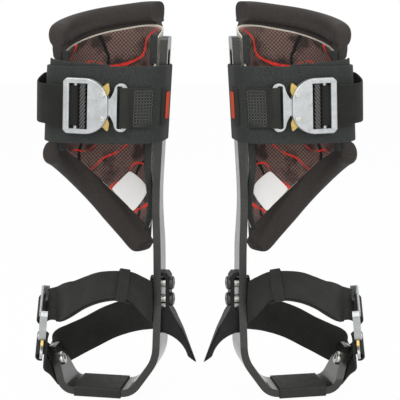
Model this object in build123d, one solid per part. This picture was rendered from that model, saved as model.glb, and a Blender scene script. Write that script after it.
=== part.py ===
from build123d import *
import os
from math import acos, asin, atan2, cos, degrees, hypot, radians, sin, tan

# A pair of tree climbing spikes. One climber, for the right leg, is modelled in its own frame:
# +X towards the other leg, +Y towards the heel, +Z up, zero in the boot arch just above the floor.
# The left climber is its mirror image. All sizes are in millimetres.

# Row: how the two climbers stand beside each other
HALF_SPACING = 117.0        # floor centre to the middle of each boot arch
TOE_OUT = 10.0              # each climber is turned outwards, degrees
ROW_SHIFT = 6.35            # puts the pair's bounding box in the middle of the row frame
STAND_LIFT = 3.5            # height of the climber's own zero above the floor

# Leg iron: one flat bar bent into the shank, the boot stirrup and the short outer arm
BAR_THICK = 9.0
SHANK_WIDTH = 28.0
UPPER_WIDTH = 20.0
STIRRUP_WIDTH = 48.0
STIRRUP_LEVEL = 3.0         # height of the bar's middle under the boot
SHANK_X = 69.8              # middle of the lower shank
SHANK_BEND_Z = 47.6         # where the shank turns in under the boot
ARCH_INNER_X = 38.3
ARCH_OUTER_X = -44.5
ARM_LEAN = 20.0             # outward lean of the outer arm, degrees
ARM_TOP_Z = 54.0
ARM_WIDTH = 28.0            # the arm narrows to this between two heights
ARM_TAPER_LOW, ARM_TAPER_HIGH = 14.0, 40.0
KNEE_START_Z = 185.0        # below this the shank is upright
KNEE_X, KNEE_Z = 67.3, 237.0
SHANK_LEAN = 3.6            # inward lean of the upper shank, degrees
BAR_BENDS = (17, 24, 50, 500, 500)    # radii of the bar's bends, from the outer arm to the knee
STIRRUP_TO_Z, SHANK_FROM_Z = 62.0, 112.0    # the bar narrows from stirrup to shank between these
SHANK_TO_Z, UPPER_FROM_Z = 185.0, 240.0     # and from shank to upper shank between these
BAR_SIDE_ROUND = 20.0       # rounding of those steps in the bar's side view
SHANK_TOP_ROUND, ARM_TOP_ROUND = 5.0, 8.0
BAR_BELOW = -5.0            # the side outlines start under the bar
UPPER_LENGTH = 192.0        # shank above the knee bend

# Boot grip: a rubber sleeve on the stirrup
GRIP_WALL = 2.0
GRIP_FROM_X, GRIP_TO_X = -32.0, 25.5
GRIP_CORNER = 2.5

# Gaff and its two screws, and the single screw of the outer arm
GAFF_DEPTH = 17.0
GAFF_SCREW_HEIGHTS = (117.0, 137.0)
BUSH_LENGTH = 4.2
GAFF_ARM = 4.8
SCREW_RADIUS = 3.0
SCREW_LENGTH = 18.0
SCREW_HEAD_RADIUS, SCREW_HEAD_HEIGHT = 8.2, 4.0
NUT_BARREL_RADIUS = 5.0
NUT_FLANGE_RADIUS, NUT_FLANGE = 8.5, 1.8
ARM_SCREW_Y, ARM_SCREW_Z = -6.0, 36.0

# Webbing
WEB_WIDTH = 45.0
WEB_THICK = 1.8
FOOT_STRAP_THICK = 2.4
AIR = 0.3                   # gap left between soft pieces and what they lie on
STRAP_REST, STRAP_GAP = 0.5, 0.4    # under and between the straps on the outer arm
KEEPER_INSIDE, KEEPER_WALL, KEEPER_WIDTH = (46.5, 7.0), 1.6, 11.0
SHANK_REST = 0.9            # between the foot strap and the shank, where the strap twists a little

# Calf cup: x from the middle of the leaning bar, z up from its knee
CUP_TRAVEL_DOWN, CUP_TRAVEL_UP = 12.0, 36.0
CLAMP_HEIGHTS = (95.0, 135.0)
CLAMP_RADIUS = 3.0
CLAMP_HEAD_RADIUS, CLAMP_HEAD = 5.2, 3.2
CLAMP_HEAD_FROM = 1.0       # the heads are sunk into a step in the bar's slot
SLOT_WIDTH, SLOT_STEP_WIDTH = 6.6, 10.8
BRACKET_WALL = 3.0
BRACKET_FROM_Z, BRACKET_TO_Z = 72.0, 158.0
SHELL_THICK = 2.0
SHELL_MEDIAL_X = -8.75
SHELL_LATERAL_X = -121.2
SHELL_REAR_Y = 60.0
SHELL_RADIUS = 44.0
PAD_THICK = 7.5
PAD_RIM = 12.0              # radius of the rolled rims
RIM_POINTS = 14             # guide points along each rim
RIM_TOP_END, RIM_LOW_END = 54.0, 60.0        # the rims stop behind the shank
RIM_TOP_SPREAD, RIM_LOW_SPREAD = 6.0, 8.0    # how far the rims stand out on the outer side
PAD_MEDIAL_END = 50.0
PAD_FRONT_Y = 2.0
LINING_THICK = 4.5
BAND_THICK = 2.6
BAND_FROM_Z, BAND_TO_Z = 72.0, 159.0

# Buckle, in its own frame: x along the strap from the frame's end to the tongue's end,
# y across the strap, z outwards from the leg
FRAME_LENGTH, FRAME_HALF = 52.2, 31.0
SHOULDER_X = 24.7           # where the frame's round shoulders start
FRAME_BACK, FRAME_FRONT = 1.0, 9.6
SLOT_FROM, SLOT_TO, SLOT_HALF = 7.5, 28.5, 25.5
CROSSBAR_RADIUS = 2.4       # the webbing goes round this bar in the slot
CALF_CROSSBAR, FOOT_CROSSBAR = (13.0, 2.7), (16.0, 6.6)    # x and z
END_BAR_LOW, END_BAR_HIGH = 7.5, 10.8
CHAMBER_FROM, CHAMBER_BACK, CHAMBER_FRONT = 31.0, 2.9, 6.6    # hollow for the tongue's head and the clips
CHAMBER_OPEN = 60.0         # past the frame's nose
CLAMP_GROOVE_FROM, CLAMP_GROOVE_DEPTH = 18.6, 2.0    # grooves that guide the clamping bar's ends
CLAMP_BAR_X, CLAMP_BAR_Z, CLAMP_BAR_ROUND = (18.2, 25.6), (2.2, 7.6), 2.4
CLAMP_END_X, CLAMP_END_Z = (19.4, 25.0), (3.0, 6.2)
SPRING_RECESS, SPRING_LEVEL = 3.5, 7.4
SPRING_OUTER, SPRING_INNER, SPRING_HEIGHT = 3.2, 2.3, 1.4
RIVET_HEAD_RADIUS, RIVET_HEAD = 3.2, 1.1
PLATE_FROM, PLATE_THICK = 3.1, 3.3
NOSE_HALF = 9.5
PIVOT_X, PIVOT_Y, PIVOT_RADIUS = 45.5, 13.5, 2.0
TONGUE_END = 73.0
TONGUE_BAR_X = 70.0
LOOP_RADIUS = 3.7           # inside of the webbing loop on the calf tongue's bar
FOOT_LOOP_RADIUS = 4.4      # inside of the foot straps' two loops
CALF_STRAP_Z = 112.5        # height of the calf strap above the knee bend, beside the bar
CALF_STRAP_LEAN = 2.0
CALF_BUCKLE_X, CALF_BUCKLE_Y = -99.2, -59.9
CALF_STRAP_SIDE_X = -141.2  # outer side of the calf strap, where it stands off the leg
CALF_STRAP_TURN = 43.0      # radius of its turn towards the buckle
FOOT_BUCKLE_MIDDLE = Vector(-65, -34, 89.2)
FOOT_BUCKLE_RUN = Vector(-0.198, 0.311, -0.93).normalized()
FOOT_BUCKLE_OUT = Vector(-0.952, -0.286, 0.107).normalized()
HALF_BUCKLE = 36.5


def plan_path(*pieces):
    """One wire from edges that follow on from each other."""
    edges = []
    for piece in pieces:
        edges += piece.edges()
    return Wire(edges)


def arc(center, radius, start, turn):
    return CenterArc(center, radius, start, turn)


def leaning(angle):
    """The direction of a bar that leans inwards by an angle."""
    return Vector(sin(radians(angle)), 0, cos(radians(angle)))


def wall(path, thickness, low, high, lean=SHANK_LEAN):
    """A wall of the given thickness along a plan path, leaning like the bar, with level edges."""
    foot = Pos(low * tan(radians(lean)), 0, low) * trace(path, thickness)
    return extrude(foot, (high - low) / cos(radians(lean)), dir=leaning(lean))


def box_between(x, y, z):
    """A box from three pairs of limits."""
    size = [b - a for a, b in (x, y, z)]
    middle = [(a + b) / 2 for a, b in (x, y, z)]
    return Pos(*middle) * Box(*size)


def rod_x(radius, start, end, y, z):
    return Pos((start + end) / 2, y, z) * Rot(0, 90, 0) * Cylinder(radius, end - start)


def rod_y(radius, half, x, z):
    return Pos(x, 0, z) * Rot(90, 0, 0) * Cylinder(radius, 2 * half)


def between(points, steps):
    """Points on a smooth curve through a few guide points (Catmull-Rom)."""
    ends = [points[0] * 2 - points[1]] + points + [points[-1] * 2 - points[-2]]
    curve = []
    for i in range(1, len(ends) - 2):
        a, b, c, d = ends[i - 1:i + 3]
        for k in range(steps):
            s = k / steps
            curve.append((b * 2 + (c - a) * s + (a * 2 - b * 5 + c * 4 - d) * s ** 2
                          + (b * 3 - a - c * 3 + d) * s ** 3) / 2)
    return curve + [points[-1]]


def strap_frames(stations, steps=3):
    """Middle, run, face and width directions along a strap, from stations of (middle, width direction)."""
    middles = between([Vector(*p) for p, w in stations], steps)
    widths = between([Vector(*w).normalized() for p, w in stations], steps)
    frames = []
    for i, middle in enumerate(middles):
        run = (middles[min(i + 1, len(middles) - 1)] - middles[max(i - 1, 0)]).normalized()
        out = run.cross(widths[i]).normalized()
        frames.append((middle, run, out, out.cross(run).normalized()))
    return frames


def ribbon(stations, thickness):
    """A flat strap through its stations."""
    sections = []
    for middle, run, out, across in strap_frames(stations):
        side, half = across * (WEB_WIDTH / 2), out * (thickness / 2)
        corners = [middle - half + side, middle + half + side, middle + half - side, middle - half - side]
        sections.append(Face(Wire.make_polygon(corners, close=True)))
    return loft(sections, ruled=True)


# Leg iron

ARM_SLOPE = tan(radians(ARM_LEAN))
ARM_OUT = Vector(-cos(radians(ARM_LEAN)), 0, -sin(radians(ARM_LEAN)))
ARM_UP = Vector(-sin(radians(ARM_LEAN)), 0, cos(radians(ARM_LEAN)))


def arm_middle(z):
    return Vector(ARCH_OUTER_X - (z - STIRRUP_LEVEL) * ARM_SLOPE, 0, z)


ARM_SCREW = arm_middle(ARM_SCREW_Z) + Vector(0, ARM_SCREW_Y, 0)
KNEE = Pos(KNEE_X, 0, KNEE_Z)
UPPER = Plane((KNEE_X, 0, KNEE_Z), x_dir=leaning(SHANK_LEAN + 90), z_dir=leaning(SHANK_LEAN))
SHANK_TOP = UPPER.from_local_coords(Vector(0, 0, UPPER_LENGTH))
SHANK_INNER = SHANK_X - BAR_THICK / 2
SHANK_OUTER = SHANK_X + BAR_THICK / 2


def leg_iron():
    arm_top = arm_middle(ARM_TOP_Z)
    line = FilletPolyline(
        (arm_top.X, arm_top.Z), (ARCH_OUTER_X, STIRRUP_LEVEL), (ARCH_INNER_X, STIRRUP_LEVEL),
        (SHANK_X, SHANK_BEND_Z), (SHANK_X, KNEE_START_Z), (KNEE_X, KNEE_Z), (SHANK_TOP.X, SHANK_TOP.Z),
        radius=list(BAR_BENDS))
    bar = extrude(Plane.XZ * trace(line, BAR_THICK), STIRRUP_WIDTH / 2, both=True)
    half, slim, top, tall = STIRRUP_WIDTH / 2, SHANK_WIDTH / 2, UPPER_WIDTH / 2, SHANK_TOP.Z
    edge = [(half, BAR_BELOW), (half, STIRRUP_TO_Z), (slim, SHANK_FROM_Z), (slim, SHANK_TO_Z),
            (top, UPPER_FROM_Z), (top, tall)]
    shank_side = make_face(Polyline(*edge, *[(-y, z) for y, z in reversed(edge)], close=True))
    shank_side = fillet(shank_side.vertices().filter_by(lambda v: 0 < v.Y < tall - 1), BAR_SIDE_ROUND)
    shank_side = fillet(shank_side.vertices().group_by(Axis.Y)[-1], SHANK_TOP_ROUND)
    narrow = ARM_WIDTH / 2
    edge = [(half, BAR_BELOW), (half, ARM_TAPER_LOW), (narrow, ARM_TAPER_HIGH), (narrow, ARM_TOP_Z)]
    arm_side = make_face(Polyline(*edge, *[(-y, z) for y, z in reversed(edge)], close=True))
    arm_side = fillet(arm_side.vertices().filter_by(lambda v: 0 < v.Y < ARM_TOP_Z - 1), BAR_SIDE_ROUND)
    arm_side = fillet(arm_side.vertices().group_by(Axis.Y)[-1], ARM_TOP_ROUND)
    outline = extrude(Plane.YZ * shank_side, 120) + extrude(Plane.YZ * arm_side, -120)
    iron = bar & outline
    for height in GAFF_SCREW_HEIGHTS:
        iron -= rod_x(NUT_BARREL_RADIUS + 0.05, SHANK_INNER - 5, SHANK_OUTER + 5, 0, height)
    iron -= Plane(ARM_SCREW, z_dir=ARM_OUT) * Cylinder(NUT_BARREL_RADIUS + 0.05, 30)
    slot_low = CLAMP_HEIGHTS[0] - CUP_TRAVEL_DOWN - 1
    slot_high = CLAMP_HEIGHTS[1] + CUP_TRAVEL_UP + 1
    slot_place = UPPER * Plane((0, 0, (slot_low + slot_high) / 2), x_dir=(0, 1, 0), z_dir=(1, 0, 0)).location
    slot = SlotCenterToCenter(slot_high - slot_low, SLOT_WIDTH, rotation=90)
    slot = slot_place * extrude(slot, 20, both=True)
    step = SlotCenterToCenter(slot_high - slot_low, SLOT_STEP_WIDTH, rotation=90)
    step = slot_place * (Pos(0, 0, CLAMP_HEAD_FROM - 0.02) * extrude(step, 20))
    return iron - slot - step


def footbed_grip():
    half = STIRRUP_WIDTH / 2
    low, high = STIRRUP_LEVEL - BAR_THICK / 2, STIRRUP_LEVEL + BAR_THICK / 2
    span = (GRIP_FROM_X, GRIP_TO_X)
    sleeve = box_between(span, (-half - GRIP_WALL, half + GRIP_WALL), (low - GRIP_WALL, high + GRIP_WALL))
    sleeve = fillet(sleeve.edges().filter_by(Axis.X), GRIP_CORNER)
    return sleeve - box_between(span, (-half - 0.1, half + 0.1), (low - 0.1, high + 0.1))


# Gaff: a forged spike with a long foot that is screwed to the inner face of the shank

def gaff():
    window = SHANK_OUTER + BUSH_LENGTH
    arm_face = window + GAFF_ARM
    upper = Polyline((98.1, 81.4), (92, 92), (arm_face + 4.5, 101), (arm_face, 108), (arm_face, 146), (80, 151),
                     (SHANK_OUTER, 151), (SHANK_OUTER, 146), (window, 144), (window, 106), (SHANK_OUTER, 104),
                     (SHANK_OUTER, 77))
    lower = Line((SHANK_OUTER, 77), (78, 76.5)) + ThreePointArc((78, 76.5), (91.5, 68.5), (104.1, 48))
    point = Polyline((104.1, 48), (114.5, 39.8), (98.1, 81.4))
    side = make_face(upper + lower + point)
    blank = extrude(Plane.XZ * side, GAFF_DEPTH / 2, both=True)
    # the spike narrows to its point, seen along the leg
    half = GAFF_DEPTH / 2
    taper = [(60, half), (88, half), (116, 1.5)]
    narrow = make_face(Polyline(*taper, *[(x, -y) for x, y in reversed(taper)], close=True))
    spike = blank & Pos(0, 0, 95) * extrude(narrow, 80, both=True)
    spike = chamfer(spike.edges().filter_by(lambda e: e.center().X > 90 and e.center().Z < 90
                                            and abs(e.center().Y) > 2 and e.length > 15), 1.6)
    for height in GAFF_SCREW_HEIGHTS:
        spike -= rod_x(SCREW_RADIUS + 0.2, SHANK_OUTER, arm_face + 10, 0, height)
    return spike


def gaff_bushes():
    bush = Cylinder(6.0, BUSH_LENGTH - 0.04) - Cylinder(SCREW_RADIUS + 0.2, BUSH_LENGTH)
    return [Pos(SHANK_OUTER + BUSH_LENGTH / 2, 0, z) * Rot(0, 90, 0) * bush for z in GAFF_SCREW_HEIGHTS]


def button_screw():
    """Head above zero, shaft below, with a six-sided socket."""
    head = Cylinder(SCREW_HEAD_RADIUS, SCREW_HEAD_HEIGHT, align=(Align.CENTER, Align.CENTER, Align.MIN))
    head = fillet(head.edges().group_by(Axis.Z)[-1], 2.6)
    head -= Pos(0, 0, 1.4) * extrude(RegularPolygon(3.0, 6), 5)
    return head + Cylinder(SCREW_RADIUS, SCREW_LENGTH, align=(Align.CENTER, Align.CENTER, Align.MAX))


def flange_nut(barrel):
    """Flange above zero, threaded barrel below."""
    nut = Cylinder(NUT_FLANGE_RADIUS, NUT_FLANGE, align=(Align.CENTER, Align.CENTER, Align.MIN))
    nut = fillet(nut.edges().group_by(Axis.Z)[-1], 0.9)
    nut += Cylinder(NUT_BARREL_RADIUS, barrel, align=(Align.CENTER, Align.CENTER, Align.MAX))
    return nut - Cylinder(SCREW_RADIUS + 0.05, 2 * barrel + 5)


STRAP_STACK = FOOT_STRAP_THICK + 2 * AIR
SHANK_STACK = FOOT_STRAP_THICK + 2 * SHANK_REST
ARM_STACK = 2 * STRAP_STACK + 1.6    # two straps, the outer one rising a little beside the screw
NUT_BARREL = 10.0


def screw_places():
    """Where the three screws' heads sit, each with its axis pointing out of the head."""
    arm_face = SHANK_OUTER + BUSH_LENGTH + GAFF_ARM
    places = [Plane((arm_face, 0, z), z_dir=(1, 0, 0)) for z in GAFF_SCREW_HEIGHTS]
    return places + [Plane(ARM_SCREW - ARM_OUT * (BAR_THICK / 2), z_dir=ARM_OUT * -1)]


def nut_places():
    inner = SHANK_INNER - SHANK_STACK
    places = [Plane((inner, 0, z), z_dir=(-1, 0, 0)) for z in GAFF_SCREW_HEIGHTS]
    return places + [Plane(ARM_SCREW + ARM_OUT * (BAR_THICK / 2 + ARM_STACK), z_dir=ARM_OUT)]


def button_screws():
    return [place * button_screw() for place in screw_places()]


def lock_nuts():
    return [place * flange_nut(NUT_BARREL) for place in nut_places()]


# Buckle: a quick-release buckle whose two sprung clips hook behind the tongue's head

def frame_outline():
    """Straight sides that run into round shoulders beside a flat nose."""
    round_off = FRAME_LENGTH - SHOULDER_X
    middle_y = FRAME_HALF - round_off
    end_angle = degrees(asin((NOSE_HALF - middle_y) / round_off))
    shoulder = arc((SHOULDER_X, middle_y), round_off, 90, end_angle - 90)
    nose = shoulder @ 1
    half = Polyline((0, 0), (0, FRAME_HALF - 4), (4, FRAME_HALF), (SHOULDER_X, FRAME_HALF)) + shoulder
    half += Polyline((nose.X, nose.Y), (nose.X, 0), (0, 0))
    upper = make_face(half)
    outline = upper + mirror(upper, Plane.XZ)
    return fillet(outline.vertices().filter_by(lambda v: v.X < 5 or v.X > 40), 3)


def buckle_frame(crossbar, clamped):
    height = FRAME_FRONT - FRAME_BACK
    frame = Pos(0, 0, FRAME_BACK) * extrude(frame_outline(), height)
    frame = fillet(frame.faces().sort_by(Axis.Z)[-1].edges(), 1.2)
    # the slot that the webbing goes through, and the raised end bar
    frame -= box_between((-1, SLOT_TO), (-SLOT_HALF, SLOT_HALF), (-1, 20))
    end_bar = box_between((0.4, SLOT_FROM), (-SLOT_HALF - 0.9, SLOT_HALF + 0.9), (END_BAR_LOW, END_BAR_HIGH))
    frame += fillet(end_bar.edges().filter_by(Axis.Y), 1.5)
    frame += rod_y(CROSSBAR_RADIUS, SLOT_HALF + 1, *crossbar)
    if clamped:
        # grooves for the ends of the clamping bar
        reach = SLOT_HALF + CLAMP_GROOVE_DEPTH
        frame -= box_between((CLAMP_GROOVE_FROM, SLOT_TO), (-reach, reach), (CHAMBER_BACK - AIR, CHAMBER_FRONT))
    # chamber for the tongue's head and the two clips, open at the nose and beside it
    mouth = NOSE_HALF + 0.4
    chamber = box_between((CHAMBER_FROM, CHAMBER_OPEN), (-mouth, mouth), (CHAMBER_BACK, CHAMBER_FRONT))
    side = make_face(Polyline((34, 8), (34, 17.5), (42.6, 20), (45.2, 32), (CHAMBER_OPEN, 32),
                              (CHAMBER_OPEN, 8), close=True))
    pocket = Pos(0, 0, CHAMBER_BACK) * extrude(side, CHAMBER_FRONT - CHAMBER_BACK)
    frame -= chamber
    frame -= pocket
    frame -= mirror(pocket, Plane.XZ)
    for y in (-PIVOT_Y, PIVOT_Y):
        frame -= Pos(PIVOT_X, y, SPRING_LEVEL) * Cylinder(SPRING_RECESS, SPRING_HEIGHT + 0.4)
        frame -= Pos(PIVOT_X, y, 5) * Cylinder(PIVOT_RADIUS, 20)
    return frame


def buckle_tongue():
    half = Polyline((31.6, 0), (31.6, 7.5), (33.2, NOSE_HALF), (35.4, NOSE_HALF), (35.4, 8.1), (42.4, 8.1),
                    (42.4, NOSE_HALF), (53, NOSE_HALF))
    half += ThreePointArc((53, NOSE_HALF), (56.6, 15.4), (58.5, 21.4))
    half += ThreePointArc((58.5, 21.4), (61.5, 25.6), (66.4, 27))
    half += ThreePointArc((66.4, 27), (71.2, 25), (TONGUE_END, 20.5))
    half += Polyline((TONGUE_END, 20.5), (TONGUE_END, 0), (31.6, 0))
    upper = make_face(half)
    outline = upper + mirror(upper, Plane.XZ)
    opening = Pos(64.35, 0) * RectangleRounded(5.7, 47.4, 1.5)
    return Pos(0, 0, PLATE_FROM) * extrude(outline - opening, PLATE_THICK)


def buckle_clip():
    """The clip on the +Y side: hook towards the tongue, finger ear outside the nose."""
    hook = make_face(Polyline((37.6, 8.35), (41.2, 8.35), (42.2, 10.4), (46, 10.6), (45, 17), (40, 15.5),
                              (37.6, 12.5), close=True))
    ear = make_face(Polyline((46, 10.5), (50.6, 12), (53, 18), (51.7, 28), (45.2, 22.5), (42.5, 17),
                             close=True))
    ear = fillet(ear.vertices().filter_by(lambda v: v.X > 50), 1.5)
    outline = hook + ear + Pos(PIVOT_X, PIVOT_Y) * Circle(4.0)
    clip = Pos(0, 0, PLATE_FROM + 0.05) * extrude(outline, PLATE_THICK - 0.1)
    return clip - Pos(PIVOT_X, PIVOT_Y, 5) * Cylinder(PIVOT_RADIUS + 0.05, 10)


def clip_rivets():
    rivets = []
    for y in (PIVOT_Y, -PIVOT_Y):
        pin = Pos(PIVOT_X, y, FRAME_BACK) * Cylinder(
            PIVOT_RADIUS - 0.02, FRAME_FRONT - FRAME_BACK, align=(Align.CENTER, Align.CENTER, Align.MIN))
        head = Pos(PIVOT_X, y, FRAME_FRONT) * Cylinder(
            RIVET_HEAD_RADIUS, RIVET_HEAD, align=(Align.CENTER, Align.CENTER, Align.MIN))
        rivets.append(pin + fillet(head.edges().group_by(Axis.Z)[-1], 0.8))
    return rivets


def clip_springs():
    ring = Cylinder(SPRING_OUTER, SPRING_HEIGHT) - Cylinder(SPRING_INNER, SPRING_HEIGHT + 1)
    return [Pos(PIVOT_X, y, SPRING_LEVEL) * ring for y in (PIVOT_Y, -PIVOT_Y)]


def adjuster_bar():
    """The bar that clamps the webbing against the crossbar."""
    half, end = SLOT_HALF - AIR, SLOT_HALF + CLAMP_GROOVE_DEPTH - 0.4
    bar = box_between(CLAMP_BAR_X, (-half, half), CLAMP_BAR_Z)
    bar = fillet(bar.edges().filter_by(Axis.Y).group_by(Axis.Z)[-1], CLAMP_BAR_ROUND)
    return bar + box_between(CLAMP_END_X, (-end, end), CLAMP_END_Z)


def buckle_pieces(crossbar, clamped):
    clip = buckle_clip()
    return {"frame": buckle_frame(crossbar, clamped), "tongue": buckle_tongue(), "clip_upper": clip,
            "clip_lower": mirror(clip, Plane.XZ), "clip_rivets": clip_rivets(), "clip_springs": clip_springs()}


CALF_STRAP = Plane((KNEE_X + CALF_STRAP_Z * tan(radians(SHANK_LEAN)), 0, KNEE_Z + CALF_STRAP_Z),
                   x_dir=leaning(CALF_STRAP_LEAN + 90), z_dir=leaning(CALF_STRAP_LEAN))
CALF_BUCKLE = CALF_STRAP * Plane((CALF_BUCKLE_X, CALF_BUCKLE_Y, 0), x_dir=(1, 0, 0), z_dir=(0, -1, 0)).location
FOOT_BUCKLE = Plane(FOOT_BUCKLE_MIDDLE - FOOT_BUCKLE_RUN * HALF_BUCKLE
                    - FOOT_BUCKLE_OUT * (PLATE_FROM + PLATE_THICK / 2),
                    x_dir=FOOT_BUCKLE_RUN, z_dir=FOOT_BUCKLE_OUT)


# Calf cup: a thin shell on the upper shank, padded outside and lined inside

MEDIAL_CENTER = (SHELL_MEDIAL_X - SHELL_RADIUS, SHELL_REAR_Y - SHELL_RADIUS)
LATERAL_CENTER = (SHELL_LATERAL_X + SHELL_RADIUS, SHELL_REAR_Y - SHELL_RADIUS)


def cup_path(offset, medial_end, spread=0.0):
    """The cup's plan round the back of the leg, moved outwards, and spread further on the outer side."""
    radius = SHELL_RADIUS + offset
    medial, rear = SHELL_MEDIAL_X + offset, SHELL_REAR_Y + offset
    outer_x, side_y = LATERAL_CENTER[0] - spread, MEDIAL_CENTER[1]
    start = degrees(asin(max(medial_end - side_y, 0) / radius))
    pieces = [arc(MEDIAL_CENTER, radius, start, 90 - start), Line((MEDIAL_CENTER[0], rear), (outer_x, rear)),
              arc((outer_x, side_y), radius, 90, 90),
              Line((outer_x - radius, side_y), (outer_x - radius, PAD_FRONT_Y))]
    if medial_end < side_y:
        pieces.insert(0, Line((medial, medial_end), (medial, side_y)))
    return plan_path(*pieces)


DRIFT = tan(radians(SHANK_LEAN))


def slope(rise_x, rise_y, level):
    """The plane z = level + rise_x * x + rise_y * y, where x is measured from the leaning bar."""
    steep = 1 + rise_x * DRIFT
    return Plane((0, 0, level / steep), x_dir=(steep, 0, rise_x), z_dir=(-rise_x, -rise_y, steep))


SHELL_TOP, SHELL_TOP_RISE = 193.0, (0.18, 0.3)
SHELL_LOW, SHELL_LOW_RISE = -45.0, (-0.87, -0.283)
RIM_TOP, RIM_TOP_RISE = 208.8, (0.135, 0.25)
RIM_LOW, RIM_LOW_RISE = -82.0, (-1.033, -0.228)
CORNER_SLOPE = -0.68        # the cup's lower corner is cut away towards the shank
CORNER_LEVEL = 13.4
SHELL_FRONT_Y = -UPPER_WIDTH / 2 - 4


def cup_layer(offset, thickness, top, low, medial_end, corner=CORNER_LEVEL):
    """A layer of the cup between two sloping edges, with its lower corner cut away."""
    layer = wall(cup_path(offset, medial_end), thickness, -160, 260)
    layer = split(layer, top, keep=Keep.BOTTOM)
    layer = split(layer, low, keep=Keep.TOP)
    cut = Plane((0, corner, 0), x_dir=(1, 0, 0), z_dir=(0, 1, -CORNER_SLOPE))
    return split(layer, cut, keep=Keep.TOP)


PAD_OFFSET = (SHELL_THICK + PAD_THICK) / 2 + AIR


def rim_roll(rise, level, spread, end, radius=PAD_RIM):
    """The rolled edge of the pad: a round roll along the cup's plan, lifted onto a sloping plane."""
    plan = cup_path(PAD_OFFSET, end, spread)
    points = []
    for i in range(RIM_POINTS + 1):
        spot = plan.position_at(i / RIM_POINTS)
        height = level + rise[0] * spot.X + rise[1] * spot.Y
        points.append(Vector(spot.X + height * DRIFT, spot.Y, height))
    path = Spline(*points)
    roll = sweep(Plane(path @ 0, z_dir=path % 0) * Circle(radius), path)
    for tip in (points[0], points[-1]):
        roll += Pos(*tip) * Sphere(radius)
    return roll


def calf_shell():
    top, low = slope(*SHELL_TOP_RISE, SHELL_TOP), slope(*SHELL_LOW_RISE, SHELL_LOW)
    shell = cup_layer(0, SHELL_THICK, top, low, SHELL_FRONT_Y)
    return shell - rim_roll(RIM_LOW_RISE, RIM_LOW, RIM_LOW_SPREAD, RIM_LOW_END, PAD_RIM + AIR)


def pad_lining():
    offset = -(SHELL_THICK + LINING_THICK) / 2 - AIR
    top, low = slope(*SHELL_TOP_RISE, SHELL_TOP - 3), slope(*SHELL_LOW_RISE, SHELL_LOW + 4)
    return cup_layer(offset, LINING_THICK, top, low, SHELL_FRONT_Y)


def calf_pad():
    top, low = slope(*RIM_TOP_RISE, RIM_TOP), slope(*RIM_LOW_RISE, RIM_LOW)
    pad = cup_layer(PAD_OFFSET, PAD_THICK, top, low, PAD_MEDIAL_END, CORNER_LEVEL + PAD_RIM)
    pad += rim_roll(RIM_TOP_RISE, RIM_TOP, RIM_TOP_SPREAD, RIM_TOP_END)
    pad += rim_roll(RIM_LOW_RISE, RIM_LOW, RIM_LOW_SPREAD, RIM_LOW_END)
    return pad


def shank_bracket():
    """A channel that rides on the upper shank and carries the shell."""
    inner = -BAR_THICK / 2 - 0.2
    half = UPPER_WIDTH / 2 + AIR
    height = (BRACKET_FROM_Z, BRACKET_TO_Z)
    channel = box_between((inner - BRACKET_WALL, 0), (-half - BRACKET_WALL, half + BRACKET_WALL), height)
    channel = fillet(channel.edges().filter_by(Axis.Z), 1.5)
    channel -= box_between((inner, 10), (-half, half), height)
    for z in CLAMP_HEIGHTS:
        channel -= rod_x(CLAMP_RADIUS + 0.02, -20, 20, 0, z)
    return channel


def clamp_screws():
    screws = []
    for z in CLAMP_HEIGHTS:
        shaft = rod_x(CLAMP_RADIUS, -BAR_THICK / 2 - BRACKET_WALL, CLAMP_HEAD_FROM, 0, z)
        head = rod_x(CLAMP_HEAD_RADIUS, CLAMP_HEAD_FROM, CLAMP_HEAD_FROM + CLAMP_HEAD, 0, z)
        socket = Plane((CLAMP_HEAD_FROM + 1.4, 0, z), z_dir=(1, 0, 0)) * extrude(RegularPolygon(2.5, 6), 5)
        screws.append(shaft + head - socket)
    return screws


BAND_CORNER = (-33.0, -17.1)
BAND_SIDE = (-92.2, -15.7)
BAND_OUTER_X = 7.6
BAND_HEEL = (-10.0, 7.0)    # middle of the band's turn behind the bar


def cuff_band():
    """A wide band round the bar, across the front of the leg and round to the pad."""
    skin = BAND_THICK / 2
    side_x = BAND_OUTER_X - skin
    corner = side_x - BAND_CORNER[0]
    front = BAND_CORNER[1] - corner
    lateral = BAND_SIDE[1] - front
    back = SHELL_RADIUS + SHELL_THICK / 2 + AIR + PAD_THICK + 0.7 + skin
    x, y = BAND_HEEL
    round_off = side_x - x
    # the straight part touches the turn behind the bar and the turn behind the leg
    across, along = x - MEDIAL_CENTER[0], y - MEDIAL_CENTER[1]
    turn = degrees(atan2(along, across) + acos((back - round_off) / hypot(across, along)))
    leave = Vector(x, y) + Vector(round_off, 0).rotate(Axis.Z, turn)
    meet = Vector(*MEDIAL_CENTER) + Vector(back, 0).rotate(Axis.Z, turn)
    path = plan_path(
        arc(MEDIAL_CENTER, back, 60, turn - 60), Line(meet, leave), arc((x, y), round_off, turn, -turn),
        Line((side_x, y), (side_x, BAND_CORNER[1])), arc(BAND_CORNER, corner, 0, -90),
        Line((BAND_CORNER[0], front), (BAND_SIDE[0], front)), arc(BAND_SIDE, lateral, -90, -90),
        Line((BAND_SIDE[0] - lateral, BAND_SIDE[1]), (BAND_SIDE[0] - lateral, LATERAL_CENTER[1])),
        arc(LATERAL_CENTER, LATERAL_CENTER[0] - BAND_SIDE[0] + lateral, 180, -20))
    return wall(path, BAND_THICK, BAND_FROM_Z, BAND_TO_Z)


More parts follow.
